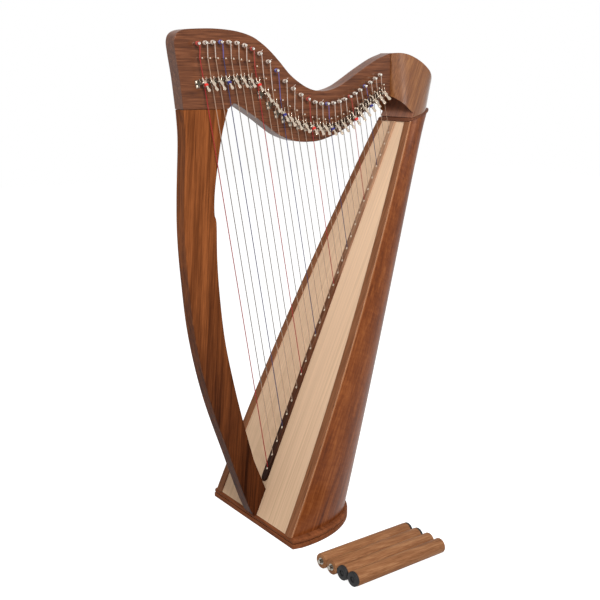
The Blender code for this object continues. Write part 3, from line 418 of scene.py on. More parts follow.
def value_at(knots, number):
    for index in range(len(knots) - 1):
        start, end = knots[index], knots[index + 1]
        if number <= end[0]:
            break
    before = knots[max(index - 1, 0)]
    after = knots[min(index + 2, len(knots) - 1)]
    span = end[0] - start[0]
    t = (number - start[0]) / span
    place = []
    for a, b, c, d in list(zip(before, start, end, after))[1:]:
        slope_in = (c - a) / (end[0] - before[0]) * span
        slope_out = (d - b) / (after[0] - start[0]) * span
        place.append((2 * t ** 3 - 3 * t * t + 1) * b + (t ** 3 - 2 * t * t + t) * slope_in
                     + (3 * t * t - 2 * t ** 3) * c + (t ** 3 - t * t) * slope_out)
    return place


def board_x(z):
    return BASE_FRONT + BOARD_SETBACK + (z - BASE_TOP) * tan(BOARD_LEAN)


def board_share(z):
    return (z - BASE_TOP) / cos(BOARD_LEAN) / BOARD_LENGTH


def board_point(up, y, off=0.0):
    along = Vector((sin(BOARD_LEAN), 0, cos(BOARD_LEAN)))
    return Vector((BASE_FRONT + BOARD_SETBACK, y, BASE_TOP)) + along * up + BOARD_FRONT * off


def half_width(share):
    loss = (BOARD_WIDTH_BOTTOM - BOARD_WIDTH_TOP) / 2
    return BOARD_WIDTH_BOTTOM / 2 - loss * max(share, 0.0) ** BOARD_FLARE


def box_depth(share):
    return BOX_DEPTH_TOP + (BOX_DEPTH_BOTTOM - BOX_DEPTH_TOP) * max(1 - share, 0.0) ** BACK_FLARE


def shell_xy(theta, z, grow=0.0):
    share = board_share(z)
    power = 2 / BACK_ROUNDNESS
    x = board_x(z) + BOARD_BACK + GAP + (box_depth(share) + grow) * abs(cos(theta)) ** power
    y = (half_width(share) + grow) * abs(sin(theta)) ** power * copysign(1, theta)
    return x, y


def collar_z(x, above=0.0):
    front = board_point(BOARD_LENGTH, 0)
    return front.z + (x - front.x) * tan(COLLAR_TILT) + above / cos(COLLAR_TILT)


def shell_point(theta, z_low, rise, grow=0.0, below=0.0):
    z = z_low
    for _ in range(12):
        x, y = shell_xy(theta, z, grow)
        z = z_low + rise * (collar_z(x, -below) - z_low)
    x, y = shell_xy(theta, z, grow)
    return Vector((x, y, z))


def thetas(steps):
    return [pi / 2 * sin(pi / 2 * (2 * k / steps - 1)) for k in range(steps + 1)]


def string_points(number):
    """Tuning pin's string point, bridge pin's string point, rib end and radius of a string."""
    share = (number - 1) / (STRINGS - 1)
    radius = STRING_RADIUS_BASS + (STRING_RADIUS_TREBLE - STRING_RADIUS_BASS) * share
    out = -HALF_FRAME - STRING_OFF_NECK
    tuning = side_point(*value_at(TUNING_PINS, number), y=out)
    bridge = side_point(*value_at(BRIDGE_PINS, number), y=out)
    tuning.x += TUNING_PIN_RADIUS + radius + GAP
    bridge.x -= BRIDGE_PIN_RADIUS + radius + GAP
    steps = number - 1
    up = FIRST_STRING_UP + steps * RIB_SPACING_BASS - (
        RIB_SPACING_BASS - RIB_SPACING_TREBLE) * steps * (steps - 1) / 2 / 26
    return tuning, bridge, board_point(up * SIDE, 0.0, GAP + RIB_THICKNESS * 0.3), radius


def lever_frames():
    """Number, pivot, across and up of each lever, from the frame's joints."""
    rows = []
    for joint in frame["joints"]:
        pivot = Vector(joint["pos_m"])
        across = -Vector(joint["axis"]).normalized()
        rows.append((int(joint["child"][-2:]), pivot, across, Vector((-across.z, 0, across.x))))
    return sorted(rows, key=lambda row: row[0])


# Materials

def srgb(red, green, blue):
    """Linear colour of a tone written as it looks on screen, 0 to 255."""
    def linear(value):
        value /= 255
        return value / 12.92 if value <= 0.04045 else ((value + 0.055) / 1.055) ** 2.4
    return (linear(red), linear(green), linear(blue))


def start_material(name, roughness, metallic=0.0, specular=0.5, coat=0.0, coat_roughness=0.2):
    material = bpy.data.materials.new(name)
    material.use_nodes = True
    shader = material.node_tree.nodes["Principled BSDF"]
    shader.inputs["Roughness"].default_value = roughness
    shader.inputs["Metallic"].default_value = metallic
    shader.inputs["Specular IOR Level"].default_value = specular
    shader.inputs["Coat Weight"].default_value = coat
    shader.inputs["Coat Roughness"].default_value = coat_roughness
    return material, material.node_tree, shader


def node(tree, kind, inputs=None, **settings):
    made = tree.nodes.new("ShaderNode" + kind)
    for key, value in settings.items():
        setattr(made, key, value)
    for key, value in (inputs or {}).items():
        if isinstance(value, bpy.types.NodeSocket):
            tree.links.new(value, made.inputs[key])
        else:
            made.inputs[key].default_value = value
    return made


def grain(tree, turn, across, along):
    """Object coordinates for noise with features this long across and along the grain.

    The turn brings the grain onto Z."""
    place = node(tree, "TexCoord").outputs["Object"]
    turned = node(tree, "Mapping", {"Vector": place, "Rotation": turn}).outputs[0]
    scale = (1 / across, 1 / across, 1 / along)
    return node(tree, "Mapping", {"Vector": turned, "Scale": scale}).outputs[0]


def noise(tree, vector, detail=3.0, roughness=0.5, distortion=0.0):
    return node(tree, "TexNoise", {"Vector": vector, "Scale": 1.0, "Detail": detail,
                                   "Roughness": roughness,
                                   "Distortion": distortion}).outputs[0]


def maths(tree, operation, *values):
    return node(tree, "Math", dict(enumerate(values)), operation=operation).outputs[0]


def ramp(tree, value, stops):
    made = node(tree, "ValToRGB", {"Fac": value})
    elements = made.color_ramp.elements
    for element, (position, colour) in zip(elements, (stops[0], stops[-1])):
        element.position = position
        element.color = (*colour, 1)
    for position, colour in stops[1:-1]:
        elements.new(position).color = (*colour, 1)
    return made.outputs["Color"]


def moved_range(tree, value, source, target):
    return node(tree, "MapRange", {
        "Value": value, "From Min": source[0], "From Max": source[1],
        "To Min": target[0], "To Max": target[1]}).outputs[0]


def raise_surface(tree, shader, height, strength, distance):
    raised = node(tree, "Bump", {"Height": height, "Strength": strength,
                                 "Distance": distance})
    tree.links.new(raised.outputs["Normal"], shader.inputs["Normal"])


def wood(name, stops, turn, width=0.012, stretch=14, pore=0.0011, pore_share=0.16, roughness=0.46,
         coat=0.0, coat_roughness=0.25, specular=0.05, wave=0.5, figure=0.0, height_fade=None):
    """Streaky wood: broad bands, finer streaks and open pores, all drawn out along the grain."""
    material, tree, shader = start_material(name, roughness, specular=specular, coat=coat,
                                            coat_roughness=coat_roughness)
    broad = noise(tree, grain(tree, turn, width, width * stretch), 3.0, 0.5, wave)
    streak = width / 4
    streak_length = streak * stretch * STREAK_STRETCH
    streaks = noise(tree, grain(tree, turn, streak, streak_length), 3.0, 0.6, wave)
    pores = noise(tree, grain(tree, turn, pore, pore * PORE_STRETCH), 2.0, 0.6)
    value = maths(tree, "MULTIPLY", broad, 1 - STREAK_SHARE - pore_share)
    value = maths(tree, "MULTIPLY_ADD", streaks, STREAK_SHARE, value)
    value = maths(tree, "MULTIPLY_ADD", pores, pore_share, value)
    if figure:
        ripple = noise(tree, grain(tree, turn, *RIPPLE), 2.0, 0.5, 0.6)
        value = maths(tree, "MULTIPLY_ADD", maths(tree, "SUBTRACT", ripple, 0.5), figure, value)
    # height_fade darkens the wood towards the bottom and lightens it towards the top
    if height_fade:
        low, high, amount = height_fade
        place = node(tree, "TexCoord").outputs["Object"]
        z = node(tree, "SeparateXYZ", {"Vector": place}).outputs["Z"]
        value = maths(tree, "ADD", value, moved_range(tree, z, (low, high), (-amount, amount)))
    tree.links.new(ramp(tree, value, stops), shader.inputs["Base Color"])
    rough = moved_range(tree, streaks, (0.3, 0.7), (roughness - 0.06, roughness + 0.07))
    tree.links.new(rough, shader.inputs["Roughness"])
    raise_surface(tree, shader, pores, 0.6, bpy.context.scene.harp_finish.bump)
    return material


def metal(name, colour, roughness, worn=0.1):
    """Plated metal with a faint cloudy polish."""
    material, tree, shader = start_material(name, roughness, metallic=1.0)
    cloud = noise(tree, grain(tree, (0, 0, 0), 1 / 700, 1 / 700), 3.0)
    dark = tuple(channel * (1 - worn * 2) for channel in colour)
    tree.links.new(ramp(tree, cloud, [(0.3, dark), (0.62, colour)]), shader.inputs["Base Color"])
    rough = moved_range(tree, cloud, (0, 1), (roughness - worn, roughness + worn))
    tree.links.new(rough, shader.inputs["Roughness"])
    return material


def plain(name, colour, roughness, speck=1 / 900, spread=0.15, specular=0.5):
    """Nylon, rubber or enamel with a fine uneven surface."""
    material, tree, shader = start_material(name, roughness, specular=specular)
    specks = noise(tree, grain(tree, (0, 0, 0), speck, speck), 4.0, 0.6)
    low = tuple(channel * (1 - spread) for channel in colour)
    high = tuple(min(1.0, channel * (1 + spread)) for channel in colour)
    tree.links.new(ramp(tree, specks, [(0.3, low), (0.7, high)]), shader.inputs["Base Color"])
    raise_surface(tree, shader, specks, 0.5, 0.00005)
    return material


def nylon(name, colour, cover):
    """Clear or dyed string: partly see-through, a little cloudy along its length."""
    material = plain(name, colour, 0.3, speck=1 / 400, spread=0.08)
    material.node_tree.nodes["Principled BSDF"].inputs["Alpha"].default_value = cover
    return material


MATERIALS = {}


def use(name):
    return MATERIALS[name]


class HARP_OT_materials(Operator):
    """Make the harp's procedural finishes"""
    bl_idname = "harp.materials"
    bl_label = "Finishes"

    def execute(self, context):
        for key, (name, stops, settings) in WOODS.items():
            stops = [(place, srgb(*tone)) for place, *tone in stops]
            MATERIALS[key] = wood(name, stops, **settings)
        tone = tuple(context.scene.harp_finish.spruce)
        dark = tuple(channel * share for channel, share in zip(tone, SPRUCE_DARK))
        light = tuple(min(1, channel * SPRUCE_LIGHT) for channel in tone)
        # The soundboard's height_fade is painted shade and light: darker towards the bottom,
        # lighter towards the top
        MATERIALS["spruce"] = wood("spruce", [(0.18, dark), (0.5, tone), (0.8, light)], LEAN,
                                   width=0.006, stretch=60, pore=0.0008, pore_share=0.10,
                                   roughness=0.5, wave=0.1, height_fade=(0.05, 0.80, 0.14))
        for kind, table in ((metal, METALS), (nylon, NYLONS)):
            for key, (name, tone, amount) in table.items():
                MATERIALS[key] = kind(name, srgb(*tone), amount)
        MATERIALS["red_mark"] = plain("red_mark", srgb(206, 40, 28), 0.35)
        MATERIALS["blue_mark"] = plain("blue_mark", srgb(38, 34, 110), 0.35)
        MATERIALS["rubber"] = plain("rubber", srgb(22, 21, 22), 0.6, speck=1 / 1500, specular=0.3)
        MATERIALS["eyelet"] = plain("eyelet", srgb(226, 208, 184), 0.4)
        inside = ["inner_string_rib", "lining_left", "lining_right", "bottom_block"]
        sockets = [f"leg_socket_{number}" for number in range(1, 5)]
        for names, key in ((inside, "spruce"), (sockets, "nickel")):
            for name in names:
                materials = frame["nodes"][name].data.materials
                materials.clear()
                materials.append(use(key))
        return {"FINISHED"}


class HARP_OT_pillar(Operator):
    """Build the bowed pillar"""
    bl_idname = "harp.pillar"
    bl_label = "Pillar"

    def execute(self, context):
        lift = Vector((0, 0, GAP))
        outline = drawn(PILLAR_FRONT + [(PILLAR_TOE, 0)], 10)
        outline[0] -= lift
        clear = GAP / cos(BOARD_LEAN)
        heel_z = BASE_TOP + PILLAR_HEEL_UP / 1000 * SIDE
        low = BASE_TOP + GAP
        outline.append(Vector((side_point(PILLAR_TOE, 0).x, 0, low)))
        outline += [Vector((board_x(z) - clear, 0, z)) for z in (low, heel_z)]
        outline += drawn(PILLAR_INNER, 8)
        outline.append(side_point(*PILLAR_INNER[-1]) - lift)
        piece("pillar_wood", slab(outline, HALF_FRAME), use("pillar"), stands_for=("pillar",),
              bevel=FRAME_BEVEL)
        return {"FINISHED"}


class HARP_OT_neck(Operator):
    """Build the neck"""
    bl_idname = "harp.neck"
    bl_label = "Neck"

    def execute(self, context):
        outline = drawn(NECK_FRONT + NECK_TOP, 8)
        outline.append(side_point(*NECK_TOP[-1]))
        outline += drawn(NECK_BOTTOM, 8)
        outline += drawn([NECK_BOTTOM[-1]] + NECK_CROOK, 5)
        outline.append(side_point(*NECK_CROOK[-1]))
        piece("neck_wood", slab(outline, HALF_FRAME), use("neck"), stands_for=("neck",),
              bevel=FRAME_BEVEL)
        return {"FINISHED"}


class HARP_OT_pins(Operator):
    """Build the tuning pins, bridge pins, lever brackets and fret posts"""
    bl_idname = "harp.pins"
    bl_label = "Pins and brackets"

    def execute(self, context):
        pins, bridges, plates, screws = [], [], [], []
        for number in range(1, STRINGS + 1):
            tuning, bridge, _, radius = string_points(number)
            tuning.x -= TUNING_PIN_RADIUS + radius + GAP
            bridge.x += BRIDGE_PIN_RADIUS + radius + GAP
            far = Vector((tuning.x, HALF_FRAME - PIN_SUNK, tuning.z))
            near = Vector((far.x, -far.y, far.z))
            r = TUNING_PIN_RADIUS
            out = TUNING_PIN_OUT + PIN_SUNK
            pins.append(lathe(near, OUTWARD, [(0, r), (out - 0.0008, r), (out - 0.0003, r * 0.9),
                                              (out, r * 0.6), (out, TIP)], 20))
            pins.append(lathe(far, -OUTWARD, [(0, r), (0.0035, r), (0.004, r * 0.95)], 20))
            side, up = Vector((TUNING_SQUARE, 0, 0)), Vector((0, 0, TUNING_SQUARE))
            pins.append(block(far - side / 2 - up / 2,
                              (side, up, -OUTWARD * (TUNING_SQUARE_OUT + PIN_SUNK))))
            r, groove, out = BRIDGE_PIN_RADIUS, STRING_OFF_NECK, BRIDGE_PIN_OUT
            waist = r * GROOVE_SHARE
            bridges.append(lathe(Vector((bridge.x, -HALF_FRAME - 0.0002, bridge.z)), OUTWARD, [
                (0, r), (groove - GROOVE_OUTER, r), (groove - GROOVE_INNER, waist),
                (groove + GROOVE_INNER, waist), (groove + GROOVE_OUTER, r), (out - 0.0006, r),
                (out - 0.0001, r * 0.7), (out, 0.0002)], 16))
        for number, pivot, across, up in lever_frames():
            height = -pivot.y - HALF_FRAME
            seat = pivot - OUTWARD * height
            corner = seat - across * PLATE_REACH - up * PLATE_BELOW - OUTWARD * PLATE_SUNK
            plates.append(block(corner, (across * PLATE_WIDTH, up * PLATE_HEIGHT,
                                         OUTWARD * PLATE_THICKNESS)))
            arm = mirrored(ARM_EYE + [(ARM_SUNK - height, ARM_FOOT)])
            plates.append(loft([[pivot + across * side + OUTWARD * out + up * rise
                                 for out, rise in arm] for side in ARM_SIDES]))
            radius = string_points(number)[3]
            top = height - PIVOT_OUTSIDE_STRING - radius - 2 * GAP
            plates.append(lathe(pivot + up * PIVOT_BELOW_FRET - OUTWARD * height, OUTWARD, [
                (0, POST_FOOT), (0.0015, POST_FOOT), (0.002, POST_RADIUS), (top, POST_RADIUS)], 12))
            for level in SCREW_LEVELS:
                head = seat - across * SCREW_REACH + up * level + OUTWARD * SCREW_SEAT
                screws.append(lathe(head, OUTWARD, SCREW_HEAD, 16))
        piece("tuning_pins", joined(pins), use("nickel"))
        piece("bridge_pins", joined(bridges), use("lever"))
        piece("lever_brackets", joined(plates), use("bracket"), bevel=0.0003, segments=2)
        piece("bracket_screws", joined(screws), use("lever"))
        return {"FINISHED"}


def mirrored(edge):
    """An edge and its mirror image, as one closed outline."""
    return edge + [(along, -side) for along, side in edge[::-1]]


def lever_shapes():
    """Metal body and colour sleeve of a lever: X outward, Y across the string, Z up along it."""
    handle = Vector((cos(REST_DROP), 0, -sin(REST_DROP)))
    normal = Vector((sin(REST_DROP), 0, cos(REST_DROP)))
    across = Vector((0, 1, 0))

    def flat(edge, half_in, half_out):
        """Outline in (reach, across) made solid, thinner towards the handle's end."""
        return loft([[handle * reach + across * y + normal * side * (
            half_in + (half_out - half_in) * max(0.0, min(1.0, (reach - 0.003) / 0.012)))
            for reach, y in mirrored(edge)] for side in (-1, 1)])

    root = handle * 0.0016
    tip = Vector((-cos(FORK_RISE), 0, sin(FORK_RISE))) * FORK_LENGTH
    round_prong = tube([root - across * 0.00225, tip * 0.5 - across * 0.0024,
                        tip * 0.97 - across * 0.0026], 0.0011, 12)
    curve = [root + across * 0.0022, across * 0.0023, tip * 0.4 + across * 0.0028,
             tip * 0.7 + across * 0.0036, tip * 0.9 + across * 0.0045, tip + across * 0.0052]
    rings = []
    for index, point in enumerate(curve):
        ahead = (curve[min(index + 1, len(curve) - 1)] - curve[max(index - 1, 0)]).normalized()
        flatways = Vector((1, 0, 0)) - ahead * ahead.x
        flatways.normalize()
        thin = ahead.cross(flatways) * 0.0005
        deep = flatways * (0.0017 - 0.0001 * index)
        rings.append([point - deep - thin, point + deep - thin, point + deep + thin,
                      point - deep + thin])
    r = HINGE_PIN_RADIUS
    hinge_pin = lathe(Vector((0, -0.0043, 0)), across, [(0, r), (0.0065, r)], 14)
    pin_head = lathe(Vector((0, -0.0057, 0)), across,
                     [(0, r), (0.0003, 0.0017), (0.0011, 0.0019)], 14)
    hub = block(Vector((-0.0009, -0.0021, 0)),
                (Vector((0.0018, 0, 0)), Vector((0, 0.0042, 0)), Vector((0, 0, 0.0022))))
    metal_body = joined([flat(HANDLE_EDGE, 0.0018, 0.0011), round_prong, loft(rings), hinge_pin,
                         pin_head, hub])
    return metal_body, flat(SLEEVE_EDGE, 0.0023, 0.0020)


def string_colour(number):
    """Red for every C, blue for every F, clear for the rest."""
    return {0: "red", 3: "blue"}.get((number - 1) % 7, "nylon")


class HARP_OT_levers(Operator):
    """Build the sharpening levers, each on its own hinge"""
    bl_idname = "harp.levers"
    bl_label = "Levers"

    def execute(self, context):
        body_shape, sleeve_shape = lever_shapes()
        for number, pivot, across, up in lever_frames():
            place = Matrix.Translation(pivot) @ Matrix((OUTWARD, across, up)).transposed().to_4x4()
            colour = string_colour(number)
            sleeve = "lever" if colour == "nylon" else colour + "_mark"
            body = f"lever_{number:02d}"
            for part, (points, faces), key, stands_for in (("metal", body_shape, "lever", (body,)),
                                                           ("sleeve", sleeve_shape, sleeve, ())):
                piece(f"lever_{part}_{number:02d}", ([place @ point for point in points], faces),
                      use(key), body=body, stands_for=stands_for, bevel=0.0003, segments=2)
        return {"FINISHED"}


class HARP_OT_strings(Operator):
    """Build the strings, their windings on the pins and the rib they run into"""
    bl_idname = "harp.strings"
    bl_label = "Strings and rib"

    def execute(self, context):
        groups = {kind: [] for kind in ("nylon", "nylon_high", "red", "red_high", "blue",
                                        "blue_high", "nylon_warm")}
        eyelets = []
        for number in range(1, STRINGS + 1):
            tuning, bridge, low, radius = string_points(number)
            kind = string_colour(number)
            high, lit_by_wood = kind + "_high", "nylon_warm" if kind == "nylon" else kind
            pin_x = tuning.x - (TUNING_PIN_RADIUS + radius + GAP)
            reach = TUNING_PIN_RADIUS + radius * 0.9
            coil = []
            for step in range(COIL_TURNS * COIL_STEPS + 1):
                angle = -2 * pi * step / COIL_STEPS
                coil.append(Vector((pin_x + reach * cos(angle),
                                    tuning.y + radius * 2.05 * (COIL_TURNS - step / COIL_STEPS),
                                    tuning.z + reach * sin(angle))))
            # The coil, the run up to the bridge pin and the loose tails take the lighter copy: a
            # painted highlight
            groups[high].append(tube(coil, radius))
            radius += STRING_EXTRA
            groups[high].append(straight(coil[-1], bridge, radius))
            length = (low - bridge).length
            past_neck = bridge.lerp(low, value_at(BESIDE_NECK, number)[0] / length)
            above_board = low.lerp(bridge, BESIDE_BOARD * half_width(board_share(low.z)) / length)
            # Beside the neck and over the board a plain string takes the lighter copy: painted
            # light bounced from the wood
            groups[lit_by_wood].append(straight(bridge, past_neck, radius))
            if number < STRINGS - 1:
                groups[kind].append(straight(past_neck, above_board, radius))
            else:
                above_board = past_neck
            groups[lit_by_wood].append(straight(above_board, low, radius))
            if number in LOOSE_TAILS:
                angle = radians(LOOSE_TAILS[number])
                root = coil[0] - Vector((reach, 0, 0))
                tip = Vector((cos(angle), -0.25, sin(angle)))
                tail = [root, root + tip * 0.0045, root + tip * 0.009 + Vector((0, 0, 0.0006))]
                groups[high].append(tube(tail, radius * 0.9, 6))
            seat = low + BOARD_FRONT * (RIB_THICKNESS * 0.7 - 0.0002)
            eyelets.append(lathe(seat, BOARD_FRONT, EYELET, 14))
        for kind, shapes in groups.items():
            piece("strings_" + kind, joined(shapes), use(kind), smooth=60)
        piece("string_eyelets", joined(eyelets), use("eyelet"))
        start = RIB_START * SIDE
        rings = []
        for step in range(RIB_STEPS + 1):
            t = (step / RIB_STEPS) ** 2      # closer rings at the round lower end
            up = start + (BOARD_LENGTH - start) * t
            width = RIB_WIDTH_LOW + (RIB_WIDTH_HIGH - RIB_WIDTH_LOW) * t
            into = min(1.0, (up - start) / (width / 2))
            half = width / 2 * sqrt(max(0.01, 1 - (1 - into) ** 2))
            shoulder, top = GAP + RIB_THICKNESS * 0.55, GAP + RIB_THICKNESS
            rings.append([board_point(up, half * side, off) for side, off in (
                (-1, GAP), (1, GAP), (1, shoulder), (0.8, top), (-0.8, top), (-1, shoulder))])
        piece("string_rib", trimmed("string_rib", loft(rings)), use("rib"),
              stands_for=("strings_and_rib",), smooth=25)
        return {"FINISHED"}


def trimmed(name, shape):
    """A soundboard strip cut level at the base and to the tilted collar."""
    reach, high = 1.0, 3.0
    above = [(-reach, collar_z(-reach, -GAP)), (reach, collar_z(reach, -GAP)), (reach, high),
             (-reach, high)]
    top = [[Vector((x, y, z)) for x, z in above] for y in (-reach, reach)]
    square = [(-reach, -reach), (reach, -reach), (reach, reach), (-reach, reach)]
    foot = [[Vector((x, y, z)) for x, y in square] for z in (-reach, BASE_TOP + GAP)]
    return cut(name, shape, [("DIFFERENCE", joined([loft(top), loft(foot)]))])


def strip(edges, low, high, steps=64, spare=0.012):
    """Strip on the soundboard's plane, a little longer than the board at both ends."""
    rings = []
    for step in range(steps + 1):
        up = step / steps * (BOARD_LENGTH + 2 * spare) - spare
        one, other = edges(step / steps)
        rings.append([board_point(up, one, low), board_point(up, other, low),
                      board_point(up, other, high), board_point(up, one, high)])
    return loft(rings)


class HARP_OT_soundbox(Operator):
    """Build the soundboard, its rims and the round back"""
    bl_idname = "harp.soundbox"
    bl_label = "Soundbox"

    def execute(self, context):
        board = strip(lambda s: (-half_width(s), half_width(s)), -BOARD_THICKNESS, 0.0)
        board = piece("soundboard_spruce", trimmed("soundboard_spruce", board), use("spruce"),
                      stands_for=("soundboard",), bevel=0.0004, segments=2)
        board.data.materials.append(use("board_edge"))
        for polygon in board.data.polygons:
            polygon.material_index = 1 if abs(polygon.normal.y) > 0.6 else 0

        for name, sign in (("left", -1), ("right", 1)):
            def edges(s, sign=sign):
                rim = RIM_WIDTH_BOTTOM + (RIM_WIDTH_TOP - RIM_WIDTH_BOTTOM) * s
                return sign * (half_width(s) - rim), sign * half_width(s)

            shape = strip(edges, GAP, GAP + RIM_THICKNESS)
            piece("rim_" + name, trimmed("rim_" + name, shape), use("rim"),
                  stands_for=("board_rim_" + name,), bevel=0.0009)
        low = BASE_TOP + GAP
        angles = thetas(SHELL_STEPS)
        rings = []
        for row in range(SHELL_ROWS + 1):
            outer, inner = ([shell_point(t, low, row / SHELL_ROWS, grow, GAP) for t in angles]
                            for grow in (0.0, -SHELL_WALL))
            rings.append(outer + inner[::-1])
        holes = []
        through = Vector((BOX_DEPTH_BOTTOM, 0, 0))
        for number in range(4):
            share = HOLE_FIRST + HOLE_SPAN * number / 3
            z = BASE_TOP + share * BOARD_LENGTH * cos(BOARD_LEAN)
            shrink = half_width(share) / half_width(0) * 0.5 + 0.5
            centre = Vector((board_x(z) + HOLE_IN * box_depth(share), 0, z))
            ring = circle(centre, shrink, Vector((0, HOLE_HALF_WIDTH, 0)),
                          Vector((0, 0, HOLE_HALF_HEIGHT)), 48)
            holes.append(loft([ring, [point + through for point in ring]]))
        shell = cut("soundbox_shell_wood", loft(rings), [("DIFFERENCE", joined(holes))])
        piece("soundbox_shell_wood", shell, use("shell"), stands_for=("soundbox_shell",), smooth=40)
        return {"FINISHED"}


def egg_ring(z, sides):
    """Level outline of the cap: narrow at the neck, round at the back."""
    centre = board_x(z) + EGG_PROUD
    nose_x = side_point(NECK_END, 0).x
    nose_half = HALF_FRAME + NOSE_PROUD
    front = max(centre - nose_x, EGG_LEAST) / sqrt(1 - (nose_half / CAP_HALF_WIDTH) ** 2)
    collar = board_point(BOARD_LENGTH, 0)
    back = shell_xy(0.0, collar.z)[0] + (z - collar.z) * CAP_BACK_SLOPE - centre + EGG_PROUD
    ring = []
    for step in range(sides):
        angle = 2 * pi * (step + 0.5) / sides
        reach = front if cos(angle) < 0 else back
        ring.append(Vector((centre + reach * cos(angle), CAP_HALF_WIDTH * sin(angle), z)))
    return ring


class HARP_OT_shoulder(Operator):
    """Build the collar bead, the carved cap and the board in its arch"""
    bl_idname = "harp.shoulder"
    bl_label = "Shoulder"

    def execute(self, context):
        rings = []
        nose = COLLAR_THICKNESS / 2
        for step in range(BEAD_STEPS + 1):
            angle = pi * (step / BEAD_STEPS - 0.5)
            above = nose + nose * sin(angle)
            grow = COLLAR_PROUD - BEAD_ROUND * (1 - cos(angle))
            ring = [shell_point(t, BASE_TOP, 1.0, grow, -above) for t in thetas(SHELL_STEPS)]
            for corner in (ring[-1], ring[0]):
                x = board_x(corner.z) - RIM_THICKNESS - grow
                ring.append(Vector((x, corner.y, collar_z(x, above))))
            rings.append(ring)
        piece("collar_wood", loft(rings), use("collar"), stands_for=("collar_bead",), smooth=50)

        low = collar_z(BASE_FRONT + CAP_CLEAR_X) - CAP_SPARE
        high = HARP_HEIGHT + CAP_SPARE
        nose_x = side_point(NECK_END, 0).x + GAP
        above = COLLAR_THICKNESS + GAP
        profile = drawn(SHOULDER_TOP, 10)
        profile = [Vector((max(p.x, nose_x), 0, p.z)) for p in profile
                   if p.z > collar_z(p.x, above) + GAP]
        profile += [Vector((x, 0, collar_z(x, above))) for x in (profile[-1].x, nose_x)]
        line = arch_line(0.0)
        line += [(line[-1][0], low), (line[0][0], low)]
        recess = loft([[Vector((nose_x - 1.0, y, z)) for y, z in line],
                       [Vector((board_x(z) + SHOULDER_BOARD + GAP, y, z)) for y, z in line]])
        levels = [low + (high - low) * k / CAP_LEVELS for k in range(CAP_LEVELS + 1)]
        cap = cut("cap_wood", loft([egg_ring(z, 96) for z in levels]),
                  [("INTERSECT", slab(profile, 0.1)), ("DIFFERENCE", recess)])
        piece("cap_wood", cap, use("cap"), stands_for=("shoulder_cap",), bevel=0.0016)
        foot_z = collar_z(board_point(BOARD_LENGTH, 0).x + SHOULDER_BOARD, above) + 2 * GAP
        side = CAP_HALF_WIDTH - 2 * GAP
        line = [(max(-side, min(side, y)), max(z, foot_z)) for y, z in arch_line(-GAP)]
        board = [[Vector((board_x(z) + off, y, z)) for y, z in line]
                 for off in (0.0, SHOULDER_BOARD)]
        piece("arch_board", loft(board), use("dark"), stands_for=("shoulder_front_board",))
        return {"FINISHED"}


def arch_line(grow, steps=64):
    half = CAP_HALF_WIDTH + ARCH_SPREAD + grow
    foot_z = board_point(BOARD_LENGTH, 0).z
    angles = [pi * step / steps for step in range(steps + 1)]
    return [(half * cos(a), foot_z + (ARCH_HEIGHT + grow) * abs(sin(a)) ** ARCH_FULLNESS)
            for a in angles]


class HARP_OT_base(Operator):
    """Build the two stacked base plates"""
    bl_idname = "harp.base"
    bl_label = "Base"

    def execute(self, context):
        back = BASE_DEPTH - BASE_STRAIGHT
        corner = BASE_HALF_WIDTH - BASE_CORNER_IN
        outline = [(BASE_FRONT, -corner)]
        for step in range(BASE_STEPS + 1):
            theta = pi * (step / BASE_STEPS - 0.5)
            outline.append((BASE_FRONT + BASE_STRAIGHT + back * cos(theta),
                            BASE_HALF_WIDTH * sin(theta)))
        outline.append((BASE_FRONT, corner))
        holes = []
        for number in range(1, 5):
            lowest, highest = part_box(f"leg_socket_{number}")
            middle = (Vector(lowest) + Vector(highest)) / 2
            holes.append(lathe(Vector((middle.x, middle.y, -HOLE_SPARE)), Vector((0, 0, 1)), [
                (0, SOCKET_HOLE_RADIUS),
                (HOLE_SPARE + BASE_PLATE - GAP / 2, SOCKET_HOLE_RADIUS)], 32))
        for name, node_name, low, cuts in (
                ("base_plate_low", "base_lower", 0.0, [("DIFFERENCE", joined(holes))]),
                ("base_plate_high", "base_upper", BASE_PLATE + GAP, [])):
            shape = loft([[Vector((x, y, z)) for x, y in outline] for z in (low, low + BASE_PLATE)])
            piece(name, cut(name, shape, cuts), use("base"), stands_for=(node_name,), bevel=0.0042,
                  segments=5)
        return {"FINISHED"}


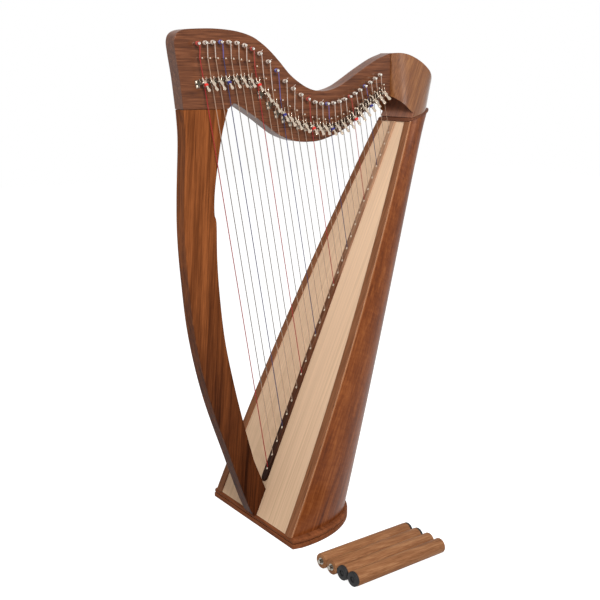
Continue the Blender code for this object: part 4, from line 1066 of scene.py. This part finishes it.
class HARP_OT_legs(Operator):
    """Build the four legs that lie beside the harp"""
    bl_idname = "harp.legs"
    bl_label = "Legs"

    def execute(self, context):
        along = Vector((cos(LEG_TURN), sin(LEG_TURN), 0))
        across = Vector((-sin(LEG_TURN), cos(LEG_TURN), 0))
        first = Vector((BASE_FRONT + LEG_LEFT_END, LEG_FIRST_Y, LEG_RADIUS))
        wood_profile = LEG_END + [(LEG_LENGTH - a, b) for a, b in LEG_END[::-1]]
        points = THREADS * 4
        thread = [(STUD_OUT - 0.0002 - step * (STUD_OUT - 0.0004) / points,
                   STUD_RADIUS * (1.0 if step % 4 < 2 else THREAD_ROOT))
                  for step in range(points + 1)]
        insert = STUD_RADIUS + 0.0024
        collar = [(0, insert), (0.0004, insert), (0.0006, insert - 0.0006), (0.0004, STUD_RADIUS)]
        for number in range(1, 5):
            studs_in_front = number <= 2
            start = first - across * LEG_PITCH * (number - 1)
            if not studs_in_front:
                start += along * (FOOT_THICKNESS + GAP)
            ends = [(start, -along), (start + along * LEG_LENGTH, along)]
            (face, out), (foot, down) = ends if studs_in_front else ends[::-1]
            piece(f"leg_wood_{number}", lathe(start, along, wood_profile, 48), use("leg"),
                  stands_for=(f"leg_{number}",))
            stud = [lathe(face, out, thread, 20), lathe(face, out, collar, 24)]
            piece(f"leg_thread_{number}", joined(stud), use("bracket"),
                  stands_for=(f"leg_stud_{number}",))
            piece(f"leg_rubber_{number}", lathe(foot + down * GAP, down, RUBBER_FOOT, 40),
                  use("rubber"), stands_for=(f"leg_foot_{number}",))
        return {"FINISHED"}


def fresh_tree(owner):
    """An empty node tree of a material or a world."""
    owner.use_nodes = True
    owner.node_tree.nodes.clear()
    return owner.node_tree


def seen_straight(tree):
    """1 where the camera or a reflection meets the backdrop, 0 where the backdrop only lights."""
    path = node(tree, "LightPath").outputs
    share = maths(tree, "MAXIMUM", path["Is Camera Ray"], path["Is Glossy Ray"])
    return maths(tree, "MAXIMUM", share, path["Is Transmission Ray"])


class HARP_OT_stage(Operator):
    """Build the floor, the lamps and the camera"""
    bl_idname = "harp.stage"
    bl_label = "Stage"

    def execute(self, context):
        scene = context.scene
        studio = scene.harp_studio
        far = FLOOR_HALF
        corners = [(-far, -far, 0), (far, -far, 0), (far, far, 0), (-far, far, 0)]
        floor = linked("floor", mesh_from("floor", corners, [(0, 1, 2, 3)]))
        material = bpy.data.materials.new("floor_white")
        tree = fresh_tree(material)
        diffuse = node(tree, "BsdfDiffuse", {"Color": (FLOOR_GREY,) * 3 + (1,)})
        share = maths(tree, "MULTIPLY", seen_straight(tree), FLOOR_GLOW)
        glow = node(tree, "Emission", {"Color": WHITE, "Strength": share})
        both = node(tree, "AddShader", {0: diffuse.outputs[0], 1: glow.outputs[0]})
        node(tree, "OutputMaterial", {"Surface": both.outputs[0]})
        floor.data.materials.append(material)

        scene.world = bpy.data.worlds.new("studio")
        tree = fresh_tree(scene.world)
        room, seen = (node(tree, "Background", {"Color": WHITE, "Strength": strength})
                      for strength in (studio.surround, 1.0))
        mixed = node(tree, "MixShader", {0: seen_straight(tree), 1: room.outputs[0],
                                         2: seen.outputs[0]})
        node(tree, "OutputWorld", {"Surface": mixed.outputs[0]})

        for name, place, size in LAMPS:
            lamp = bpy.data.lights.new(name, "AREA")
            lamp.shape = "SQUARE"
            lamp.size = size
            lamp.energy = getattr(studio, name + "_power")
            light = linked(name, lamp)
            light.location = place
            light.rotation_euler = (LAMP_TARGET - Vector(place)).to_track_quat("-Z", "Y").to_euler()

        camera = linked("camera", bpy.data.cameras.new("camera"))
        camera.data.lens = studio.lens
        camera.data.sensor_width = CAMERA_SENSOR
        camera.data.sensor_fit = "HORIZONTAL"
        azimuth, pitch, roll = CAMERA_TURN
        forward = Vector((sin(azimuth) * cos(pitch), cos(azimuth) * cos(pitch),
                          -sin(pitch)))
        level = Vector((cos(azimuth), -sin(azimuth), 0))
        upright = level.cross(forward)
        right = level * cos(roll) + upright * sin(roll)
        up = upright * cos(roll) - level * sin(roll)
        camera.matrix_world = (Matrix.Translation(CAMERA_PLACE)
                               @ Matrix((right, up, -forward)).transposed().to_4x4())
        scene.camera = camera
        scene.view_settings.view_transform = "Standard"
        return {"FINISHED"}


class HARP_PT_panel(Panel):
    """Settings and steps of the harp"""
    bl_idname = "HARP_PT_panel"
    bl_label = "Lever harp"
    bl_space_type = "VIEW_3D"
    bl_region_type = "UI"
    bl_category = "Harp"

    def draw(self, context):
        for group in (context.scene.harp_finish, context.scene.harp_studio):
            box = self.layout.box()
            for name in group.__annotations__:
                box.prop(group, name)
        for step in STEPS:
            self.layout.operator(step.bl_idname)


STEPS = (HARP_OT_stage, HARP_OT_materials, HARP_OT_base, HARP_OT_soundbox, HARP_OT_shoulder,
         HARP_OT_pillar, HARP_OT_neck, HARP_OT_pins, HARP_OT_strings, HARP_OT_levers, HARP_OT_legs)
CLASSES = (HarpFinish, HarpStudio) + STEPS + (HARP_PT_panel,)


def register():
    for item in CLASSES:
        bpy.utils.register_class(item)
    bpy.types.Scene.harp_finish = PointerProperty(type=HarpFinish)
    bpy.types.Scene.harp_studio = PointerProperty(type=HarpStudio)


def unregister():
    del bpy.types.Scene.harp_finish
    del bpy.types.Scene.harp_studio
    for item in reversed(CLASSES):
        bpy.utils.unregister_class(item)


def main():
    register()
    for step in STEPS:
        group, name = step.bl_idname.split(".")
        getattr(getattr(bpy.ops, group), name)()


if __name__ == "__main__":
    main()
